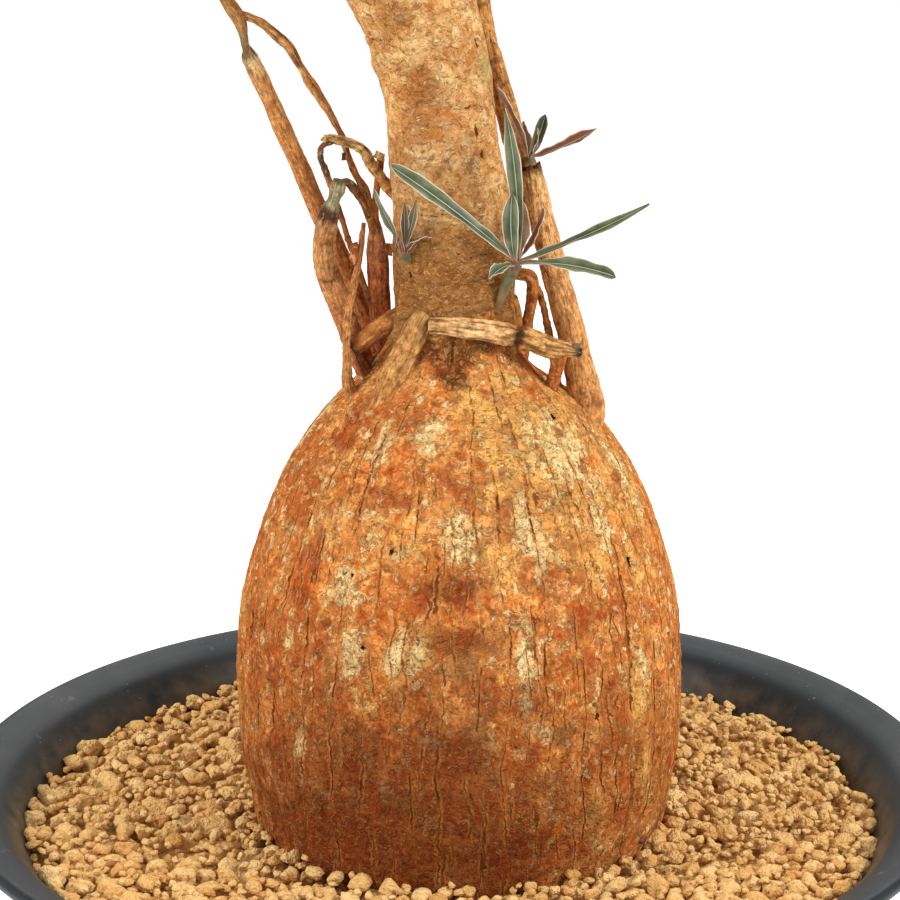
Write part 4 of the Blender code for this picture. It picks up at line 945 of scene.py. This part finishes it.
def make_stems():
    finish = stem_bark()
    for name, form, parts in (("woody_stems", woody_stem, WOODY_STEMS.values()),
                              ("bark_scraps", curled_scrap, SCRAPS)):
        shells = [form(*part, seed) for seed, part in enumerate(parts)]
        make_piece(name, shells, finish, ["adenium"])


make_stems()


# Leafy shoots: tufts of narrow leaves on short green stubs, on the trunk's two sides, on the cut
# right stem and at the end of each branch. A blade is folded along its pale midrib and paler at its edge.

# Each shoot: its stub, then its blades as root, tip, width, bow of the middle, upper side, twist of
# the tip in degrees, youth from 0 to 1 (young ones are reddish brown) and share that narrows
SHOOTS = {
    "shoot_trunk_right": ([(10.4, -10.4, 215.4, 0.6), (11.4, -11.2, 219.0, 0.9), (13.0, -12.0, 223.2, 1.3),
                           (14.5, -13.2, 226.6, 1.4), (15.0, -13.6, 228.6, 1.1)], [
        ((14.6, -13.8, 228.4), (-13.9, -18.6, 250.9), 3.7, (0.4, -1.8, 0.8), (0.4, -0.8, 0.5), 10, 0.0, 0.12),
        ((14.6, -14.2, 228.2), (13.7, -17.5, 244.3), 4.0, (-0.6, -0.6, 0), (-0.3, -1, 0.2), 15, 0.0, 0.40),
        ((15.2, -13.6, 228.6), (12.2, -15.0, 263.3), 3.6, (1.0, -1.6, 0), (-0.3, -1, 0.2), -20, 0.0, 0.45),
        ((15.2, -13.6, 228.4), (16.1, -12.6, 241.7), 3.2, (0.5, -0.6, 0), (0.9, 0.8, 0.2), 10, 0.35, 0.35),
        ((15.4, -13.0, 228.4), (21.1, -8.4, 239.5), 2.4, (0.4, -0.4, 0), (1, 0.6, 0.2), 10, 1.0, 0.5),
        ((15.2, -13.6, 228.0), (45.0, -11.0, 241.0), 3.1, (0, -0.6, -0.8), (-0.3, -0.5, 0.9), 80, 0.0, 0.65),
        ((15.2, -13.8, 227.6), (37.3, -17.0, 225.2), 3.8, (0, 0, 1.2), (0.1, -0.6, 1), 20, 0.0, 0.14),
        ((14.4, -14.0, 227.4), (8.6, -19.0, 224.9), 3.4, (0, -0.4, 1.0), (-0.2, -0.7, 1), 30, 0.0, 0.4)]),
    "shoot_trunk_left": ([(-8.2, -6.6, 226.0, 1.2), (-10.2, -9.4, 229.0, 1.7), (-10.8, -11.4, 231.4, 1.3)], [
        ((-10.8, -11.2, 231.0), (-17.4, -11.6, 244.3), 2.2, (-0.3, -0.4, 0), (-0.7, -0.7, 0.3), 0, 0.1, 0.5),
        ((-10.7, -11.4, 231.2), (-10.6, -15.0, 241.9), 2.0, (0, -0.4, 0), (0.4, -1, 0), 0, 0.4, 0.5),
        ((-10.4, -11.4, 231.2), (-7.8, -15.4, 242.6), 2.2, (0.3, -0.4, 0), (-0.5, -1, 0), 0, 0.3, 0.5),
        ((-10.2, -11.6, 230.9), (-4.3, -16.8, 234.4), 1.8, (0, 0, 0.6), (0, -0.3, 1), 0, 0.5, 0.6),
        ((-11.2, -11.0, 230.0), (-12.6, -12.2, 234.0), 1.6, (-0.3, -0.2, 0), (-0.8, -0.6, 0.2), 0, 1.0, 0.7),
        ((-10.9, -12.0, 229.8), (-11.6, -14.0, 233.6), 1.5, (0, -0.4, 0), (-0.2, -1, 0.2), 0, 1.0, 0.7),
        ((-9.9, -12.0, 229.8), (-8.0, -14.0, 232.6), 1.5, (0, -0.3, 0), (0.5, -0.9, 0.2), 0, 1.0, 0.7)]),
    "shoot_side_stem": ([(18.51, 5.56, 247.02, 1.5), (18.05, 5.85, 249.3, 1.1)], [
        ((18.3, 5.3, 248.9), (33.5, 3.4, 256.0), 2.7, (0.3, 0, -0.4), (-0.3, 0.9, 0.5), 0, 0.9, 0.4),
        ((18.5, 5.4, 249.0), (21.9, 7.4, 258.7), 3.0, (0.3, 0.2, 0), (-0.4, -1, 0.2), 0, 0.0, 0.4),
        ((18.3, 5.0, 249.0), (20.2, 2.8, 256.2), 2.0, (0.2, -0.2, 0), (0.9, -0.3, 0.2), 0, 0.8, 0.5),
        ((18.0, 5.2, 249.0), (16.6, 3.4, 257.7), 2.6, (0, -0.3, 0), (0.8, 0.8, 0.2), 0, 0.5, 0.5),
        ((17.9, 5.2, 248.8), (10.4, -5.0, 266.6), 2.4, (0.6, -1.0, 0), (0.6, 0.6, 0.4), 0, 0.7, 0.5)]),
}

# Leafy tips of the branches: stem end, direction, radius there, leaves, their length, seed
LEAFY_TIPS = {
    "crown_left": ((-54, -3, 368), (-0.30, 0.05, 0.95), 6.4, 9, 34, 11),
    "crown_front": ((9, -23, 356), (0.20, -0.25, 0.95), 5.8, 9, 32, 23),
    "crown_back": ((-15, 34, 352), (0.10, 0.40, 0.90), 5.4, 8, 30, 37),
    "tip_left_stem": ((-60.3, 4, 311), (-0.15, 0.12, 0.98), 1.0, 4, 22, 41),
    "tip_right_stem": ((13.0, 17.5, 327), (0.25, 0.05, 0.97), 1.4, 4, 24, 53),
}
LEAF_THICKNESS = 0.32
LEAF_STEP, LEAF_COLUMNS = 0.7, 14
STUB_STEP, STUB_SIDES = 0.3, 30
# A leafy tip's stub starts a little inside the end of its branch
STUB_DEPTH = 0.8
# Leaves follow each other round a stem at this angle, and a few young ones stand in the heart
LEAF_TURN = 137.5
HEART_LEAVES = 4
LEAF_MARKS = ("across", "along", "upper", "youth", "stub")


def waxy_leaf():
    """Waxy leaf: grey green and satin above, dull brown below, with pale midrib and creamy edge."""
    finish, tree, shader = finish_named("waxy desert rose leaf")
    across, along, upper, youth, stub = [
        add(tree, "Attribute", {"attribute_name": mark}, out="Fac") for mark in LEAF_MARKS]
    off = add(tree, "Math", {"operation": "ABSOLUTE"}, {0: across})
    # Mottles 4.5 mm wide, and the blade is lighter towards its edges and darker in the middle, painted shade
    # in its fold
    mottle = add(tree, "TexNoise", None, {"Vector": add(tree, "NewGeometry"), "Scale": 1 / (4.5 * MM),
                                          "Detail": 4.0})
    grown = add(tree, "Math", {"operation": "MULTIPLY_ADD"}, {0: off, 1: 0.5, 2: mottle})
    green = add(tree, "ValToRGB", None, {0: grown}, [(0.40, "2E3622"), (0.62, "424A32"), (0.95, "686E54")])
    brown = add(tree, "ValToRGB", None, {0: mottle}, [(0.3, "725C44"), (0.55, "867056"), (0.8, "9C8A6C")])
    colour = add(tree, "Mix", {"data_type": "RGBA"}, {0: upper, 6: brown, 7: green}, out=2)
    colour = add(tree, "Mix", {"data_type": "RGBA"}, {0: youth, 6: colour, 7: linear("6C3A24")}, out=2)
    # Midrib, stalk end and edge: where, from, to, strength, colour
    for where, start, full, strength, code, blend in (
            (off, 0.09, 0.02, 0.6, "C4CBA6", "SMOOTHSTEP"), (along, 0.16, 0.0, 0.7, "B08068", "LINEAR"),
            (off, 0.85, 0.96, 0.85, "DCCDB2", "SMOOTHSTEP")):
        band = add(tree, "MapRange", {"interpolation_type": blend},
                   {0: where, 1: start, 2: full, 3: 0.0, 4: strength})
        colour = add(tree, "Mix", {"data_type": "RGBA"}, {0: band, 6: colour, 7: linear(code)}, out=2)
    woody = add(tree, "ValToRGB", None, {0: along}, [
        (0.0, "AC7E4A"), (0.3, "846A42"), (0.65, "54583A"), (1.0, "6E4838")])
    shade = add(tree, "MapRange", None, {0: mottle, 1: 0.35, 2: 0.65, 3: 0.6, 4: 1.3})
    woody = add(tree, "VectorMath", {"operation": "SCALE"}, {0: woody, "Scale": shade})
    colour = add(tree, "Mix", {"data_type": "RGBA"}, {0: stub, 6: colour, 7: woody}, out=2)
    relief = add(tree, "Bump", None, {"Strength": 0.6, "Distance": 0.2 * MM, "Height": mottle})
    wire(shader, {"Base Color": colour, "Roughness": 0.42, "IOR": 1.43, "Specular IOR Level": 0.28,
                  "Normal": relief})
    return finish


def leaf_blade(root, tip, width, bow, face, twist, youth, narrows, wave):
    """One blade: slim stalk, folded along its midrib, waved at its edges and twisted a little."""
    root, tip, bow = Vector(root), Vector(tip), Vector(bow)
    ahead = (tip - root).normalized()
    rows, columns = max(LEAF_COLUMNS, round((tip - root).length / LEAF_STEP)), LEAF_COLUMNS
    cross = ahead.cross(Vector(face)).normalized()
    # The shorter the share that narrows, the blunter the end
    sharp = 2.8 - 2.2 * narrows
    upper, lower, across, along = [], [], [], []
    for i in range(rows + 1):
        t = i / rows
        rise = math.sin(math.pi / 2 * min(1, t / 0.6)) ** 1.3
        fall = 1 - max(0.0, (t - 1 + narrows) / narrows) ** sharp
        half = width / 2 * (0.26 + 0.74 * rise) * max(fall ** 0.62, 0.07)
        spin = Matrix.Rotation(math.radians(twist) * max(0, t - 0.35) ** 1.3 * 1.6, 3, ahead)
        side = spin @ cross
        up = side.cross(ahead)
        middle = root.lerp(tip, t) + bow * 4 * t * (1 - t)
        for j in range(columns + 1):
            s = 2 * j / columns - 1
            fold = 0.42 * abs(s) ** 1.3 * half
            ripple = 0.12 * width * s * abs(s) * math.sin(math.tau * 1.7 * t + wave) * min(1, 4 * t)
            ripple += 0.04 * width * s * s * math.sin(math.tau * 5.3 * t + 2 * wave)
            flat = middle + side * s * half + up * (fold + ripple)
            thick = LEAF_THICKNESS / 2 * (1.25 - 0.9 * abs(s) ** 3)
            upper.append(flat + up * thick)
            lower.append(flat - up * thick)
            across.append(s)
            along.append(t)
    # Both sides, and a rim that joins them all round
    count, wide = len(upper), columns + 1
    faces = []
    for i in range(rows):
        for j in range(columns):
            a, b, c, d = i * wide + j, i * wide + j + 1, (i + 1) * wide + j + 1, (i + 1) * wide + j
            faces += [(d, c, b, a), (count + a, count + b, count + c, count + d)]
    edge = [i * wide for i in range(rows)] + [rows * wide + j for j in range(columns)]
    edge += [i * wide + columns for i in range(rows, 0, -1)] + [*range(columns, 0, -1)]
    for a, b in zip(edge, edge[1:] + edge[:1]):
        faces.append((a, count + a, count + b, b)[::-1])
    values = (across * 2, along * 2, [1.0] * count + [0.0] * count, [youth] * 2 * count, [0.0] * 2 * count)
    marks = {name: np.array(each, float)[:, None] for name, each in zip(LEAF_MARKS, values)}
    return np.array(upper + lower), faces, marks


def leafy_stub(route):
    """The foot of a shoot: woody below, green above, knobbly with the scars of shed leaves."""
    rings, _ = rings_round(smooth_line(route, STUB_STEP), STUB_SIDES)
    middle = rings.mean(1, keepdims=True)
    rings = middle + (rings - middle) * (1 + 0.25 * rough(rings, 1.3))[..., None]
    blank = np.zeros((*rings.shape[:2], 1))
    along = blank + np.linspace(0, 1, len(rings))[:, None, None]
    return skin(rings, dict(zip(LEAF_MARKS, (blank + 0.45, along, blank, blank, blank + 1))))


def leaf_stance(axis, bearing, lift):
    """A leaf at a bearing round its stem, lifted from level, in degrees: outwards, ahead, upper side."""
    outwards = Matrix.Rotation(math.radians(bearing), 3, axis) @ axis.orthogonal().normalized()
    lift = math.radians(lift)
    ahead = (outwards * math.cos(lift) + axis * math.sin(lift)).normalized()
    return outwards, ahead, (axis * math.cos(lift) - outwards * math.sin(lift)).normalized()


def make_shoots():
    finish = waxy_leaf()
    for name, (stub, blades) in SHOOTS.items():
        shells = [leafy_stub(stub)]
        shells += [leaf_blade(*blade, 1.9 * i) for i, blade in enumerate(blades)]
        make_piece(name.replace("shoot", "leaves"), shells, finish, [name])
    for name, (end, direction, radius, count, length, seed) in LEAFY_TIPS.items():
        draw = random.Random(seed)
        axis = Vector(direction).normalized()
        start = Vector(end) - axis * STUB_DEPTH
        height = 4 + radius * 0.9
        stub = [(*(start + axis * height * share), thick) for share, thick in (
            (0, radius * 0.96), (0.5, radius * 0.78), (1, radius * 0.34 + 0.3))]
        shells = [leafy_stub(stub)]
        # Lower leaves are longer and lie flatter, upper ones are younger and steeper
        for i in range(count):
            share = (i + 0.5) / count
            turn, ahead, face = leaf_stance(axis, LEAF_TURN * i, 16 + 56 * share + draw.uniform(-5, 5))
            root = start + axis * height * (0.5 + 0.42 * share) + turn * radius * 0.12
            reach = length * (1 - 0.35 * share) * draw.uniform(0.88, 1.08)
            width = draw.uniform(3.2, 4.0)
            shells.append(leaf_blade(root, root + ahead * reach, width, face * reach * 0.05, face,
                                     14, 0.25 * share, 0.4, 1.9 * i))
        for i in range(HEART_LEAVES):
            turn, ahead, face = leaf_stance(axis, 90 * i + 30, draw.uniform(66, 80))
            root = start + axis * height * 0.9 + turn * radius * 0.1
            tip = root + ahead * length * draw.uniform(0.3, 0.5)
            shells.append(leaf_blade(root, tip, 2.0, face * 0.4, face, 0, 0.5, 0.5, 2.3 * i))
        make_piece("leaves_" + name, shells, finish, [name])


make_shoots()


# Stage, no part of the plant: a plain white floor just under the pot, a white surround, a soft key
# lamp from the upper right, a weaker fill from the left and one behind, and the camera.

# Lamps: name, place and size in metres, power in watts
LAMPS = [("key", (0.84, -0.42, 0.76), 0.28, 10.8), ("fill", (-0.86, -0.34, 0.68), 0.4, 9.0),
         ("back", (0.1, 0.8, 0.9), 0.8, 4.0)]
LAMPS_FACE = (0, 0, 0.15)
FLOOR_GAP = 0.4
# Where the camera stands in metres, how far it looks down in degrees, and its lens in mm
CAMERA_PLACE, CAMERA_DOWN, LENS = (-0.00025, -0.60280, 0.34360), 15.18, 105.32


def make_stage():
    bpy.ops.mesh.primitive_plane_add(size=30, location=(0, 0, -FLOOR_GAP * MM))
    floor = bpy.context.object
    floor.name = "floor"
    finish, _, shader = finish_named("white floor paint")
    wire(shader, {"Base Color": linear("F4F4F2"), "Roughness": 0.9, "Emission Color": linear("FFFFFF"),
                  "Emission Strength": 0.45})
    floor.data.materials.append(finish)
    world = bpy.data.worlds.new("white surround")
    world.use_nodes = True
    wire(world.node_tree.nodes["Background"], {0: linear("FFFFFF"), 1: 0.6})
    bpy.context.scene.world = world
    for name, place, size, power in LAMPS:
        lamp = bpy.data.lights.new(name, "AREA")
        lamp.size, lamp.energy = size, power
        light = bpy.data.objects.new(name, lamp)
        light.location = place
        light.rotation_euler = (Vector(LAMPS_FACE) - Vector(place)).to_track_quat("-Z", "Y").to_euler()
        bpy.context.scene.collection.objects.link(light)
    bpy.context.scene.view_settings.view_transform = "Standard"

    lens = bpy.data.cameras.new("camera")
    lens.sensor_width, lens.lens = 36.0, LENS
    lens.clip_start, lens.clip_end = 0.01, 60
    camera = bpy.data.objects.new("camera", lens)
    camera.location = CAMERA_PLACE
    camera.rotation_euler = (math.radians(90 - CAMERA_DOWN), 0, 0)
    bpy.context.scene.collection.objects.link(camera)
    bpy.context.scene.camera = camera


make_stage()
